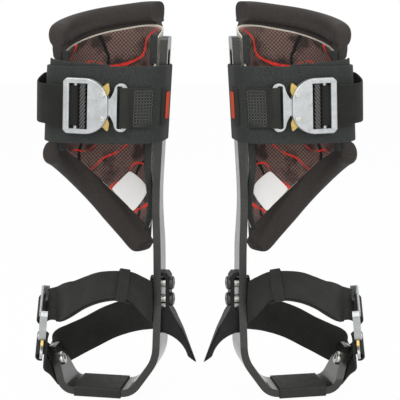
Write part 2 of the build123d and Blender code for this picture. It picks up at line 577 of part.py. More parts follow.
def calf_strap():
    """The webbing from the back of the pad, standing off the side of the leg, to the frame's crossbar."""
    loop_x, loop_y = CALF_BUCKLE_X + CALF_CROSSBAR[0], CALF_BUCKLE_Y - CALF_CROSSBAR[1]
    loop = CROSSBAR_RADIUS + 0.2 + WEB_THICK / 2
    outer_y = loop_y - loop
    side_x = CALF_STRAP_SIDE_X
    rear = SHELL_REAR_Y + SHELL_THICK / 2 + PAD_THICK + 2 * AIR + WEB_THICK / 2
    sweep_radius = LATERAL_CENTER[0] - side_x
    turn_x, turn_y = side_x + CALF_STRAP_TURN, outer_y + CALF_STRAP_TURN
    path = plan_path(
        Line((MEDIAL_CENTER[0], rear), (LATERAL_CENTER[0], rear)),
        arc((LATERAL_CENTER[0], rear - sweep_radius), sweep_radius, 90, 90),
        Line((side_x, rear - sweep_radius), (side_x, turn_y)),
        arc((turn_x, turn_y), CALF_STRAP_TURN, 180, 90),
        Line((turn_x, outer_y), (loop_x, outer_y)), arc((loop_x, loop_y), loop, -90, 180),
        Line((loop_x, loop_y + loop), (BAND_SIDE[0], loop_y + loop)),
        arc(BAND_SIDE, BAND_SIDE[1] - loop_y - loop, -90, -8))
    return wall(path, WEB_THICK, -WEB_WIDTH / 2, WEB_WIDTH / 2, lean=0)


def tongue_strap_loop():
    """The webbing that loops round the tongue's bar, down to where it is sewn."""
    loop = LOOP_RADIUS + WEB_THICK / 2
    loop_x, loop_y = CALF_BUCKLE_X + TONGUE_BAR_X, CALF_BUCKLE_Y - PLATE_FROM - PLATE_THICK / 2
    sewn = Vector(*BAND_CORNER) + Vector(SEWN_RADIUS + WEB_THICK - 0.2, 0).rotate(Axis.Z, -45)
    back = loop_y + loop
    inner = FilletPolyline((loop_x, back), (loop_x + 6, back), (loop_x + 15, back + 4), radius=9)
    outer = FilletPolyline((loop_x, loop_y - loop), (loop_x + 11, loop_y - loop), (sewn.X, sewn.Y), radius=14)
    turn = arc((loop_x, loop_y), loop, 90, 180)
    return wall(plan_path(inner, turn, outer), WEB_THICK, -WEB_WIDTH / 2, WEB_WIDTH / 2, lean=0)


SEWN_RADIUS = BAND_OUTER_X - BAND_CORNER[0] + AIR + WEB_THICK / 2


def tongue_strap():
    """The short webbing that is sewn to the band and loops round the tongue's bar."""
    low, high = CALF_STRAP_Z - WEB_WIDTH / 2, CALF_STRAP_Z + WEB_WIDTH / 2
    tail = wall(arc(BAND_CORNER, SEWN_RADIUS, -84, 46), WEB_THICK, low, high)
    return KNEE * tail + CALF_STRAP * tongue_strap_loop()


# Foot strap: from the outer arm round the heel, inside the shank and over the instep to the buckle

def foot_point(x, y, z):
    return FOOT_BUCKLE.from_local_coords(Vector(x, y, z))


FOOT_ACROSS = FOOT_BUCKLE_RUN.cross(FOOT_BUCKLE_OUT).normalized()
INNER_FACE_X = SHANK_INNER - SHANK_REST - FOOT_STRAP_THICK / 2
BESIDE_BUCKLE = [(foot_point(6, 1.5, -4), FOOT_ACROSS), (foot_point(-4, 7, -11.5), (-0.2, 0.84, 0.5))]
INSTEP = [((-24, -62, 128), (-0.16, 0.75, 0.65)), ((-5, -68, 139), (-0.14, 0.8, 0.59)),
          ((14, -70, 147), (-0.17, 0.83, 0.53)), ((34, -66, 149), (-0.15, 0.86, 0.47)),
          ((48, -57, 144), (-0.1, 0.87, 0.48))]
STIRRUP_RISE_AT, STIRRUP_RISE = 14.0, 2.0    # the short strap rises over the foot strap's end before its screw
STIRRUP_TAIL = 20.0         # the short strap's end past its screw
KEEPER_STATION = 3.5        # the keeper sits between the last two instep stations
HEEL = [((58, -38, 130), (0, 0.75, 0.66)), ((62.2, -20, 119), (0, 0.4, 0.91)),
        ((INNER_FACE_X, -7, 112.5), (0, 0.15, 0.98)), ((INNER_FACE_X, 7, 105), (0.04, 0.05, 1)),
        ((61.9, 20, 98), (0.04, 0.1, 0.99)), ((47, 42, 88), (-0.05, 0.1, 0.99)),
        ((20, 60, 77), (-0.12, 0.2, 0.97)), ((-9, 66, 65), (-0.14, 0.25, 0.95)),
        ((-34, 60, 52), (-0.15, 0.2, 0.96)), ((-53, 46, 44), (-0.22, 0.1, 0.96)),
        ((-63, 32, 40), (-0.3, 0.03, 0.95))]


def on_arm(forward, up, layer):
    """A point on the outer side of the arm, given from its screw, in the given layer of strap."""
    stand = BAR_THICK / 2 + STRAP_REST + FOOT_STRAP_THICK / 2 + layer * (FOOT_STRAP_THICK + STRAP_GAP)
    return ARM_SCREW + ARM_OUT * stand + Vector(0, -forward, 0) + ARM_UP * up


def strap_holes():
    holes = []
    for place in nut_places():
        holes.append(place * Cylinder(NUT_BARREL_RADIUS + 0.3, 30))
    return holes


LOOP_STATIONS = 7


def loop_stations(bar, free_end, leaving):
    """Round one of the foot buckle's bars, between two angles from the buckle's run towards its outside."""
    reach = FOOT_LOOP_RADIUS + FOOT_STRAP_THICK / 2
    stations = []
    for i in range(LOOP_STATIONS):
        angle = radians(free_end + (leaving - free_end) * i / (LOOP_STATIONS - 1))
        spot = bar + FOOT_BUCKLE_RUN * (reach * cos(angle)) + FOOT_BUCKLE_OUT * (reach * sin(angle))
        stations.append((spot, FOOT_ACROSS))
    return stations


def foot_strap():
    """Round the frame's crossbar, over the instep, inside the shank, round the heel and onto the arm."""
    bar = foot_point(FOOT_CROSSBAR[0], 0, FOOT_CROSSBAR[1])
    stations = loop_stations(bar, 200, -90) + BESIDE_BUCKLE + INSTEP + HEEL
    stations += [(on_arm(-24, -1, 0), ARM_UP), (on_arm(-8, -4, 0), ARM_UP), (on_arm(6, -6.5, 0), ARM_UP)]
    strap = ribbon(stations, FOOT_STRAP_THICK)
    for hole in strap_holes():
        strap -= hole
    return strap


def stirrup_strap():
    """Round the tongue's bar, then over the foot strap's end to the arm's screw."""
    bar = foot_point(TONGUE_BAR_X, 0, PLATE_FROM + PLATE_THICK / 2)
    loop = loop_stations(bar, -20, 270)
    screw = on_arm(0, 0, 1)
    aim = screw - loop[-1][0]
    run = (aim - ARM_OUT * aim.dot(ARM_OUT)).normalized()
    across = run.cross(ARM_OUT).normalized()
    rising = screw - run * STIRRUP_RISE_AT + ARM_OUT * STIRRUP_RISE
    ends = [(rising, across), (screw, across), (screw + run * STIRRUP_TAIL, across)]
    return ribbon(loop + ends, FOOT_STRAP_THICK) - strap_holes()[-1]


def strap_keeper():
    """A flat loop round the instep strap."""
    steps = 4
    middle, run, out, across = strap_frames(INSTEP + HEEL, steps)[int(KEEPER_STATION * steps)]
    place = Plane(middle, x_dir=across, z_dir=run)
    wide, tall = KEEPER_INSIDE
    ring = RectangleRounded(wide + 2 * KEEPER_WALL, tall + 2 * KEEPER_WALL, 3)
    ring -= RectangleRounded(wide, tall, 1.6)
    return place * extrude(ring, KEEPER_WIDTH / 2, both=True)


def climber():
    """Every piece of the right climber, in the climber's own frame."""
    pieces = {"leg_iron": leg_iron(), "footbed_grip": footbed_grip(), "gaff": gaff(),
              "gaff_bushes": gaff_bushes(), "button_screws": button_screws(), "lock_nuts": lock_nuts(),
              "foot_strap": foot_strap(), "stirrup_strap": stirrup_strap(), "strap_keeper": strap_keeper()}
    cup = {"calf_shell": calf_shell(), "calf_pad": calf_pad(), "pad_lining": pad_lining(),
           "cuff_band": cuff_band()}
    for name, solid in cup.items():
        pieces[name] = KNEE * solid
    pieces["shank_bracket"] = UPPER * shank_bracket()
    pieces["clamp_screws"] = [UPPER * screw for screw in clamp_screws()]
    pieces["calf_strap"] = CALF_STRAP * calf_strap()
    pieces["tongue_strap"] = tongue_strap()
    pieces["calf_adjuster_bar"] = CALF_BUCKLE * adjuster_bar()
    buckles = {"calf": (CALF_BUCKLE, buckle_pieces(CALF_CROSSBAR, clamped=True)),
               "foot": (FOOT_BUCKLE, buckle_pieces(FOOT_CROSSBAR, clamped=False))}
    for where, (place, solids) in buckles.items():
        for name, solid in solids.items():
            group = solid if isinstance(solid, list) else [solid]
            pieces[f"{where}_{name}"] = [place * s for s in group]
    return pieces


def export_pair():
    os.makedirs("parts", exist_ok=True)
    stand = Pos(-HALF_SPACING, ROW_SHIFT, STAND_LIFT) * Rot(0, 0, -TOE_OUT)
    for name, piece in climber().items():
        solids = piece if isinstance(piece, list) else [piece]
        right = [stand * s for s in solids]
        left = [mirror(s, Plane.YZ) for s in right]
        for side, group in (("right", right), ("left", left)):
            shape = group[0] if len(group) == 1 else Compound(children=group)
            export_step(shape, f"parts/{side}_{name}.step")


export_pair()
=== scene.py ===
import math
import bpy
import numpy as np
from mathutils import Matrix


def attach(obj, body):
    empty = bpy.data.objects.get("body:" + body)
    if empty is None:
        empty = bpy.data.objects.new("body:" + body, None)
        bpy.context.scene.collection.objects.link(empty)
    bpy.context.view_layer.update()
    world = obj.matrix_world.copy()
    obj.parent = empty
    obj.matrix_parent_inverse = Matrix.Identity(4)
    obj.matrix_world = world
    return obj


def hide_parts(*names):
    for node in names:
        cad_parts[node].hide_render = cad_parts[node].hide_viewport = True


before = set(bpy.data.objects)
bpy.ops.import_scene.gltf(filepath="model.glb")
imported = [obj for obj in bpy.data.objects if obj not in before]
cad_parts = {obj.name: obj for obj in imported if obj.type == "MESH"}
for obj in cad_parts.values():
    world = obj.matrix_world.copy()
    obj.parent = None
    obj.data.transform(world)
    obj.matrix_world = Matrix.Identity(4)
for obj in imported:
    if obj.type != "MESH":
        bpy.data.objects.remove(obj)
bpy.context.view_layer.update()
print("frame loaded:", len(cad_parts), "nodes")

# Shapes are worked out in the right climber's own frame, in millimetres: x towards the other leg,
# y towards the heel, z up. The left climber is the mirror image.
row = {"halfSpacing": 117.0, "toeOut": 10.0, "shift": 6.35, "lift": 3.5}
cup = {"kneeX": 67.3, "kneeZ": 237.0, "lean": 3.6, "medialX": -8.75, "lateralX": -121.2, "rearY": 60.0,
       "radius": 44.0, "frontY": 2.0, "shell": 2.0, "gap": 0.3}
strapPlane = {"height": 112.5, "lean": 2.0, "buckleX": -99.2, "buckleY": -59.9}
footBuckle = {"middle": (-65.0, -34.0, 89.2), "run": (-0.198, 0.311, -0.93), "out": (-0.952, -0.286, 0.107),
              "halfLength": 36.5, "plateMiddle": 4.75, "crossbar": (16.0, 6.6), "tongueBar": 70.0}
webWidth = 45.0
# the two arcs of the cup's plan turn about these points
innerCentre = (cup["medialX"] - cup["radius"], cup["rearY"] - cup["radius"])
outerCentre = (cup["lateralX"] + cup["radius"], innerCentre[1])


def unit(v):
    v = np.asarray(v, float)
    return v / np.linalg.norm(v, axis=-1, keepdims=True)


def toRow(points, side):
    # turn by toeOut about z, move out from the middle, change to metres; x changes sign for the left leg
    turn = math.radians(row["toeOut"])
    px, py, pz = np.moveaxis(points, -1, 0)
    x = -row["halfSpacing"] + px * math.cos(turn) + py * math.sin(turn)
    y = row["shift"] - px * math.sin(turn) + py * math.cos(turn)
    return np.stack([x if side == "right" else -x, y, pz + row["lift"]], -1) / 1000


def fromCup(points):
    # the cup leans with the bar: x moves by tan(lean) times the height above the knee
    x, y, z = np.moveaxis(points, -1, 0)
    shift = np.tan(np.radians(cup["lean"])) * z
    return np.stack([x + shift + cup["kneeX"], y, z + cup["kneeZ"]], -1)


def fromStrap(points):
    # the calf strap's frame: a plane turned by its own small lean, beside the bar
    lean = math.radians(strapPlane["lean"])
    originX = cup["kneeX"] + strapPlane["height"] * math.tan(math.radians(cup["lean"]))
    originZ = cup["kneeZ"] + strapPlane["height"]
    px, py, pz = np.moveaxis(points, -1, 0)
    x = originX + px * math.cos(lean) + pz * math.sin(lean)
    z = originZ - px * math.sin(lean) + pz * math.cos(lean)
    return np.stack([x, py, z], -1)


footRun, footOut = unit(footBuckle["run"]), unit(footBuckle["out"])
footAcross = unit(np.cross(footRun, footOut))
footOrigin = np.array(footBuckle["middle"]) - footRun * footBuckle["halfLength"]
footOrigin = footOrigin - footOut * footBuckle["plateMiddle"]


def onFootBuckle(x, y, z):
    # x down the buckle from its upper end, y across it, z out of its face
    return footOrigin + footRun * x - footAcross * y + footOut * z


# Meshes

def ringFaces(rows, cols):
    # quads between neighbouring rings of points, each ring closed on itself
    r, c = np.meshgrid(np.arange(rows - 1), np.arange(cols), indexing="ij")
    here, beside = r * cols + c, r * cols + (c + 1) % cols
    return np.stack([here, beside, beside + cols, here + cols], -1).reshape(-1, 4).tolist()


def closedSweep(rings, uv, wrapRows=False):
    # rings: rows x cols x 3, each row a closed outline; flat caps close the two ends, or the ends meet
    rows, cols = rings.shape[:2]
    first = np.arange(cols)
    last = first + (rows - 1) * cols
    if wrapRows:
        ends = np.stack([last, np.roll(last, -1), np.roll(first, -1), first], -1).tolist()
    else:
        ends = [first[::-1].tolist(), last.tolist()]
    return rings.reshape(-1, 3), ringFaces(rows, cols) + ends, uv.reshape(-1, 2)


def closedSheet(outer, inner, uv):
    # each ring goes out over the outer face and back over the inner one; a strip closes each end
    rings = np.concatenate([outer, inner[:, ::-1]], 1)
    rows, cols = rings.shape[:2]
    k = np.arange(cols // 2 - 1)
    strip = np.stack([k, cols - 1 - k, cols - 2 - k, k + 1], -1)
    ends = strip.tolist() + (strip[:, ::-1] + (rows - 1) * cols).tolist()
    uv = np.concatenate([uv, uv[:, ::-1]], 1)
    return fromCup(rings).reshape(-1, 3), ringFaces(rows, cols) + ends, uv.reshape(-1, 2)


def signedVolume(points, faces):
    # summed over the faces' triangle fans: negative where the shape is inside out
    total = 0.0
    for size in set(len(f) for f in faces):
        f = np.array([f for f in faces if len(f) == size])
        for k in range(1, size - 1):
            a, b, c = points[f[:, 0]], points[f[:, k]], points[f[:, k + 1]]
            total += np.einsum("ij,ij->i", a, np.cross(b, c)).sum()
    return total


def joinShapes(*shapes):
    # several shapes in one mesh, each with its faces outwards
    points, faces, uv, start = [], [], [], 0
    for p, f, t in shapes:
        if signedVolume(p, f) < 0:
            f = [list(q)[::-1] for q in f]
        points.append(p)
        uv.append(t)
        faces += [[i + start for i in q] for q in f]
        start += len(p)
    return np.concatenate(points), faces, np.concatenate(uv)


def addPiece(name, shape, finish, body, node=None, smoothAngle=50):
    # the shape is built for each side; the mirrored one has its faces turned round
    made = []
    points, faces, uv = joinShapes(shape)
    for side in ("right", "left"):
        mesh = bpy.data.meshes.new(f"{side}_{name}")
        sideFaces = faces if side == "right" else [f[::-1] for f in faces]
        mesh.from_pydata(toRow(points, side).tolist(), [], sideFaces)
        layer = mesh.uv_layers.new(name="UVMap")
        corner = np.zeros(len(mesh.loops), np.int32)
        mesh.loops.foreach_get("vertex_index", corner)
        layer.data.foreach_set("uv", (uv[corner] / 1000).astype(np.float32).ravel())
        mesh.materials.append(materials[finish])
        mesh.shade_smooth()
        mesh.set_sharp_from_angle(angle=math.radians(smoothAngle))
        piece = bpy.data.objects.new(f"{side}_{name}", mesh)
        bpy.context.scene.collection.objects.link(piece)
        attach(piece, f"{side}_{body}")
        if node:
            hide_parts(f"{side}_{node}")
        made.append(piece)
    return made


# Curves

def linePoints(a, b, step=2.5):
    n = max(int(math.dist(a, b) / step), 2)
    return np.linspace(a, b, n + 1)


def arcPoints(center, radius, start, turn, step=2.0):
    n = max(int(abs(math.radians(turn)) * radius / step), 5)
    a = np.radians(start + turn * np.linspace(0, 1, n + 1))
    return np.stack([center[0] + radius * np.cos(a), center[1] + radius * np.sin(a)], -1)


def joined(*parts):
    # one line from several; a point that repeats the last one is dropped
    points = np.concatenate(parts)
    keep = np.r_[True, np.linalg.norm(np.diff(points, axis=0), axis=1) > 1e-4]
    return points[keep]


def lengths(points):
    return np.r_[0, np.cumsum(np.linalg.norm(np.diff(points, axis=0), axis=1))]


def readOff(at, far, values):
    # values known at the lengths far, read off at other lengths
    return np.stack([np.interp(at, far, column) for column in values.T], -1)


def evenly(points, count):
    # the same line with its points equally far apart
    far = lengths(points)
    return readOff(np.linspace(0, far[-1], count), far, points)


def lifted(plan, z):
    # points or directions of a plan, with a height
    return np.concatenate([plan, np.broadcast_to(z, plan.shape[:-1])[..., None]], -1)


def smoothThrough(points, steps):
    # Catmull-Rom curve through guide points, its ends mirrored
    p = np.asarray(points, float)
    p = np.concatenate([[2 * p[0] - p[1]], p, [2 * p[-1] - p[-2]]])
    a, b, c, d = (p[k:len(p) - 3 + k, None, :] for k in range(4))
    s = (np.arange(steps) / steps)[None, :, None]
    square, cube = 2 * a - 5 * b + 4 * c - d, 3 * b - a - 3 * c + d
    curve = (2 * b + (c - a) * s + square * s ** 2 + cube * s ** 3) / 2
    return np.concatenate([curve.reshape(-1, p.shape[1]), p[-2:-1]])


def planNormals(plan):
    # outwards, to the right of the way the plan runs, and the way itself
    t = unit(np.gradient(plan, axis=0))
    return np.stack([t[:, 1], -t[:, 0]], -1), t


wall = {"edgeSteps": 8, "capTurns": (22, 45, 65, 80)}


def flatWall(plan, low, top, thick, place=fromCup, endCap=True, columns=14):
    # P(s, a): a goes up the outer face, over the top edge, down the inner face and round the low edge.
    # A face point is plan(s) +- half * normal; the edges are half circles of that radius, and the two
    # ends are quarter turns of the same outline.
    half = thick / 2
    normal, along = (lifted(v, 0.0) for v in planNormals(plan))
    normal = normal[:, None]
    low, top = (np.broadcast_to(level, len(plan)) for level in (low + half, top - half))
    z = low[:, None] + np.linspace(0, 1, columns) * (top - low)[:, None]
    middle = lifted(np.repeat(plan[:, None], columns, 1), z)
    angle = np.linspace(0, np.pi, wall["edgeSteps"] + 1)[1:-1, None]
    up = np.array([0, 0, 1.0])
    bend = len(angle)
    spines = np.concatenate([middle, np.repeat(middle[:, -1:], bend, 1), middle[:, ::-1],
                             np.repeat(middle[:, :1], bend, 1)], 1)
    face = np.repeat(normal, columns, 1)
    offsets = half * np.concatenate([face, normal * np.cos(angle) + up * np.sin(angle), -face,
                                     -normal * np.cos(angle) - up * np.sin(angle)], 1)
    rings, s = spines + offsets, lengths(plan)
    if endCap:
        turn = np.radians(wall["capTurns"])[:, None, None]
        first = spines[0] + offsets[0] * np.cos(turn) - along[0] * half * np.sin(turn)
        last = spines[-1] + offsets[-1] * np.cos(turn) + along[-1] * half * np.sin(turn)
        rings = np.concatenate([first[::-1], rings, last])
        s = np.r_[[s[0]] * len(turn), s, [s[-1]] * len(turn)]
    uv = np.stack([np.broadcast_to(s[:, None], rings.shape[:2]), rings[..., 2]], -1)
    return closedSweep(place(rings), uv)


def webProfile(width, thick):
    # a flat outline with half-round edges: (across, out) pairs
    columns, edgePoints, half = 12, 6, thick / 2
    straight = width / 2 - half
    angle = np.radians(np.linspace(90, -90, edgePoints)[1:-1])
    edge = np.stack([straight + half * np.cos(angle), half * np.sin(angle)], -1)
    upper = np.stack([np.linspace(-straight, straight, columns), np.full(columns, half)], -1)
    return np.concatenate([upper, edge, -upper, -edge])


def stripFrames(stations, steps):
    # a smooth curve through stations of (middle, width direction): middle, run, out and across
    middle = smoothThrough([p for p, w in stations], steps)
    wide = smoothThrough([unit(w) for p, w in stations], steps)
    run = unit(np.gradient(middle, axis=0))
    out = unit(np.cross(run, wide))
    return middle, run, out, np.cross(out, run)


def ribbon(frames, thick, width=webWidth, closed=False):
    # a web profile carried along a curve
    middle, run, out, across = frames
    profile = webProfile(width, thick)
    rings = middle[:, None] + across[:, None] * profile[None, :, :1] + out[:, None] * profile[None, :, 1:]
    uv = np.stack(np.broadcast_arrays(lengths(middle)[:, None], profile[None, :, 0]), -1)
    return closedSweep(rings, uv, wrapRows=closed)


def beads(spots, along, out, size):
    # an ellipsoid at each spot, its poles cut flat; size = half length, half width, half height
    rings, sides, pole = 6, 8, 80
    lat = np.radians(np.linspace(-pole, pole, rings))[:, None]
    lon = np.radians(np.arange(sides) * 360 / sides)[None]
    girth = np.cos(lat)
    ball = np.stack(np.broadcast_arrays(np.sin(lat), girth * np.cos(lon), girth * np.sin(lon)), -1)
    corners, base, uv = closedSweep(ball * np.array(size), np.zeros((rings, sides, 2)))
    frames = np.stack([along, np.cross(out, along), out], 1)
    points = spots[:, None] + np.einsum("pk,nkx->npx", corners, frames)
    faces = [[i + len(corners) * n for i in f] for n in range(len(spots)) for f in base]
    return points.reshape(-1, 3), faces, np.tile(uv, (len(spots), 1))


print("shape tools ready")

# Materials

nodeGroups = {}
toneInputs = {"Tone A": (0.5, 0.5, 0.5, 1), "Tone B": (0.6, 0.6, 0.6, 1)}
threadInputs = {"Along": 700.0, "Across": 900.0}
blackened = (0.02, 0.02, 0.021, 1)


def addNode(tree, kind, values=None, **settings):
    node = tree.nodes.new(kind)
    for key, value in settings.items():
        setattr(node, key, value)
    for key, value in (values or {}).items():
        if isinstance(value, bpy.types.NodeSocket):
            tree.links.new(value, node.inputs[key])
        else:
            node.inputs[key].default_value = value
    return node


def mathNode(tree, operation, a, b=0.0, c=0.0):
    return addNode(tree, "ShaderNodeMath", {0: a, 1: b, 2: c}, operation=operation).outputs[0]


def times(tree, a, b, plus=None):
    # a * b, or a * b + plus
    return mathNode(tree, "MULTIPLY", a, b) if plus is None else mathNode(tree, "MULTIPLY_ADD", a, b, plus)


def mixColour(tree, factor, a, b):
    return addNode(tree, "ShaderNodeMix", {0: factor, 6: a, 7: b}, data_type="RGBA").outputs[2]


def ramp(tree, value, low, high):
    return addNode(tree, "ShaderNodeMapRange", {"Value": value, "From Min": low, "From Max": high}).outputs[0]


def noise(tree, where, scale, detail):
    return addNode(tree, "ShaderNodeTexNoise", {"Vector": where, "Scale": scale, "Detail": detail}).outputs[0]


def axesOf(tree, where):
    return addNode(tree, "ShaderNodeSeparateXYZ", {0: where}).outputs


def objectPlace(tree):
    return tree.nodes.new("ShaderNodeTexCoord").outputs["Object"]


def newGroup(name, inputs):
    tree = bpy.data.node_groups.new(name, "ShaderNodeTree")
    for title, value in inputs.items():
        kind = "NodeSocketColor" if isinstance(value, tuple) else "NodeSocketFloat"
        tree.interface.new_socket(name=title, in_out="INPUT", socket_type=kind).default_value = value
    nodeGroups[name] = tree
    return tree, tree.nodes.new("NodeGroupInput").outputs


def putOut(tree, **values):
    out = tree.nodes.new("NodeGroupOutput").inputs
    for title, value in values.items():
        kind = "NodeSocketColor" if title == "Colour" else "NodeSocketFloat"
        tree.interface.new_socket(name=title, in_out="OUTPUT", socket_type=kind)
        tree.links.new(value, out[title])


mottle = {"fineTimes": 6.0, "fineShare": 0.45, "largeShare": 0.55, "contrast": (0.38, 0.62)}


def makeMottle():
    # two tones mixed by large and small noise; the height follows the small one
    inputs = {"Scale": 200.0, **toneInputs, "Rough A": 0.3, "Rough B": 0.5}
    tree, given = newGroup("mottle", inputs)
    where = objectPlace(tree)
    large = noise(tree, where, given["Scale"], 3.0)
    small = noise(tree, where, times(tree, given["Scale"], mottle["fineTimes"]), 2.0)
    blend = times(tree, large, mottle["largeShare"])
    blend = times(tree, small, mottle["fineShare"], blend)
    blend = ramp(tree, blend, *mottle["contrast"])
    spread = mathNode(tree, "SUBTRACT", given["Rough B"], given["Rough A"])
    colour = mixColour(tree, blend, given["Tone A"], given["Tone B"])
    putOut(tree, Colour=colour, Rough=times(tree, blend, spread, given["Rough A"]), Height=small)


def uvWaves(tree, given):
    # sines of the piece's own UV, in metres, times the thread counts
    axes = axesOf(tree, tree.nodes.new("ShaderNodeUVMap").outputs[0])
    counted = [times(tree, axes[k], given[count]) for k, count in enumerate(threadInputs)]
    return [mathNode(tree, "SINE", times(tree, value, math.pi)) for value in counted]


weave = {"crossing": 0.4, "warp": 0.6, "fadeScale": 45.0, "fadeShare": 0.5, "contrast": (0.1, 0.8),
         "rough": 0.85, "polish": -0.1}


def makeWeave():
    # plain weave: threads along and across, each raised where it crosses over
    tree, given = newGroup("weave", {**threadInputs, **toneInputs})
    waveU, waveV = uvWaves(tree, given)
    crossing = times(tree, waveU, waveV)
    warp = times(tree, mathNode(tree, "ABSOLUTE", waveV), weave["warp"])
    height = times(tree, crossing, weave["crossing"], warp)
    fade = noise(tree, objectPlace(tree), weave["fadeScale"], 3.0)
    fade = times(tree, fade, weave["fadeShare"])
    tone = times(tree, height, 1 - weave["fadeShare"], fade)
    tone = ramp(tree, tone, *weave["contrast"])
    colour = mixColour(tree, tone, given["Tone A"], given["Tone B"])
    polish = times(tree, height, weave["polish"], weave["rough"])
    putOut(tree, Colour=colour, Rough=polish, Height=height)


marbling = {"dots": (-0.3, 0.6), "cloudScale": 30.0, "clouds": (0.5, 0.62), "cloudShare": 0.75,
            "pushScale": 17.0, "push": 0.09, "patchScale": 55.0, "patches": (0.3, 0.5), "core": 0.6,
            "darkLine": {"turn": 12, "spacing": 0.083, "width": 0.05, "seed": 3.0},
            "redLine": {"turn": 62, "spacing": 0.037, "width": 0.05, "seed": 8.0}}


def waveLine(tree, where, turn, spacing, width, seed):
    # wavy lines: a turned coordinate, pushed about by noise, is near the middle of its stripe
    axes = axesOf(tree, where)
    a = times(tree, axes[0], math.cos(math.radians(turn)))
    a = times(tree, axes[1], math.sin(math.radians(turn)), a)
    waves = {"Vector": where, "Scale": marbling["pushScale"], "W": seed, "Detail": 1.5}
    push = addNode(tree, "ShaderNodeTexNoise", waves, noise_dimensions="4D")
    a = times(tree, push.outputs[0], marbling["push"], a)
    stripe = mathNode(tree, "FRACT", mathNode(tree, "DIVIDE", a, spacing))
    away = mathNode(tree, "ABSOLUTE", mathNode(tree, "SUBTRACT", stripe, 0.5))
    return ramp(tree, away, width, width * marbling["core"])


def makeMarbled():
    # a dotted mesh with dark clouds and wavy red and black lines
    lines = {"Line": (0.8, 0.045, 0.03, 1), "Dark": (0.01, 0.01, 0.01, 1)}
    tree, given = newGroup("marbled", {**threadInputs, **toneInputs, **lines})
    waveU, waveV = uvWaves(tree, given)
    dots = times(tree, waveU, waveV)
    where = tree.nodes.new("ShaderNodeUVMap").outputs[0]
    ground = mixColour(tree, ramp(tree, dots, *marbling["dots"]), given["Tone A"], given["Tone B"])
    cloud = ramp(tree, noise(tree, where, marbling["cloudScale"], 3.0), *marbling["clouds"])
    cloud = times(tree, cloud, marbling["cloudShare"])
    ground = mixColour(tree, cloud, ground, given["Dark"])
    ground = mixColour(tree, waveLine(tree, where, **marbling["darkLine"]), ground, given["Dark"])
    strength = ramp(tree, noise(tree, where, marbling["patchScale"], 2.0), *marbling["patches"])
    red = times(tree, waveLine(tree, where, **marbling["redLine"]), strength)
    putOut(tree, Colour=mixColour(tree, red, ground, given["Line"]), Height=dots)


knurl = {"slant": 1.2, "sharpness": 0.9}


def makeKnurl():
    # diagonal ridges across a bar; their colour is painted shade and painted highlight: dark in the grooves,
    # light on the ridge tops
    tree, given = newGroup("knurl", {"Ridges": 300.0, **toneInputs})
    axes = axesOf(tree, objectPlace(tree))
    slant = times(tree, mathNode(tree, "ABSOLUTE", axes[0]), knurl["slant"], axes[2])
    turns = times(tree, slant, given["Ridges"])
    wave = mathNode(tree, "SINE", times(tree, turns, math.tau))
    height = ramp(tree, wave, -knurl["sharpness"], knurl["sharpness"])
    putOut(tree, Colour=mixColour(tree, height, given["Tone A"], given["Tone B"]), Height=height)


def makeFinish(name, group, values, bump, strength, roughness=None, metallic=0.0, coat=0.0, sheen=0.0,
               specular=0.5, blackAbove=None):
    # a Principled shader fed by one group: colour, roughness where it varies, and a bump from its height
    material = bpy.data.materials.new(name)
    material.use_nodes = True
    tree = material.node_tree
    shader = tree.nodes["Principled BSDF"]
    plain = {"Metallic": metallic, "Coat Weight": coat, "Coat Roughness": 0.18, "Sheen Weight": sheen,
             "Specular IOR Level": specular}
    for key, value in plain.items():
        shader.inputs[key].default_value = value
    source = addNode(tree, "ShaderNodeGroup", values, node_tree=nodeGroups[group])
    colour = source.outputs["Colour"]
    if blackAbove:
        # what lies above this height, in metres, is blackened
        high = mathNode(tree, "GREATER_THAN", axesOf(tree, objectPlace(tree))[2], blackAbove)
        colour = mixColour(tree, high, colour, blackened)
        tree.links.new(mathNode(tree, "SUBTRACT", metallic, high), shader.inputs["Metallic"])
    tree.links.new(colour, shader.inputs["Base Color"])
    if roughness:
        shader.inputs["Roughness"].default_value = roughness
    else:
        tree.links.new(source.outputs["Rough"], shader.inputs["Roughness"])
    relief = {"Height": source.outputs["Height"], "Strength": strength, "Distance": bump}
    tree.links.new(addNode(tree, "ShaderNodeBump", relief).outputs[0], shader.inputs["Normal"])
    return material


def tones(a, b):
    return {"Tone A": (*a, 1), "Tone B": (*b, 1)}


def rough(a, b):
    return {"Rough A": a, "Rough B": b}


makeMottle()
makeWeave()
makeMarbled()
makeKnurl()
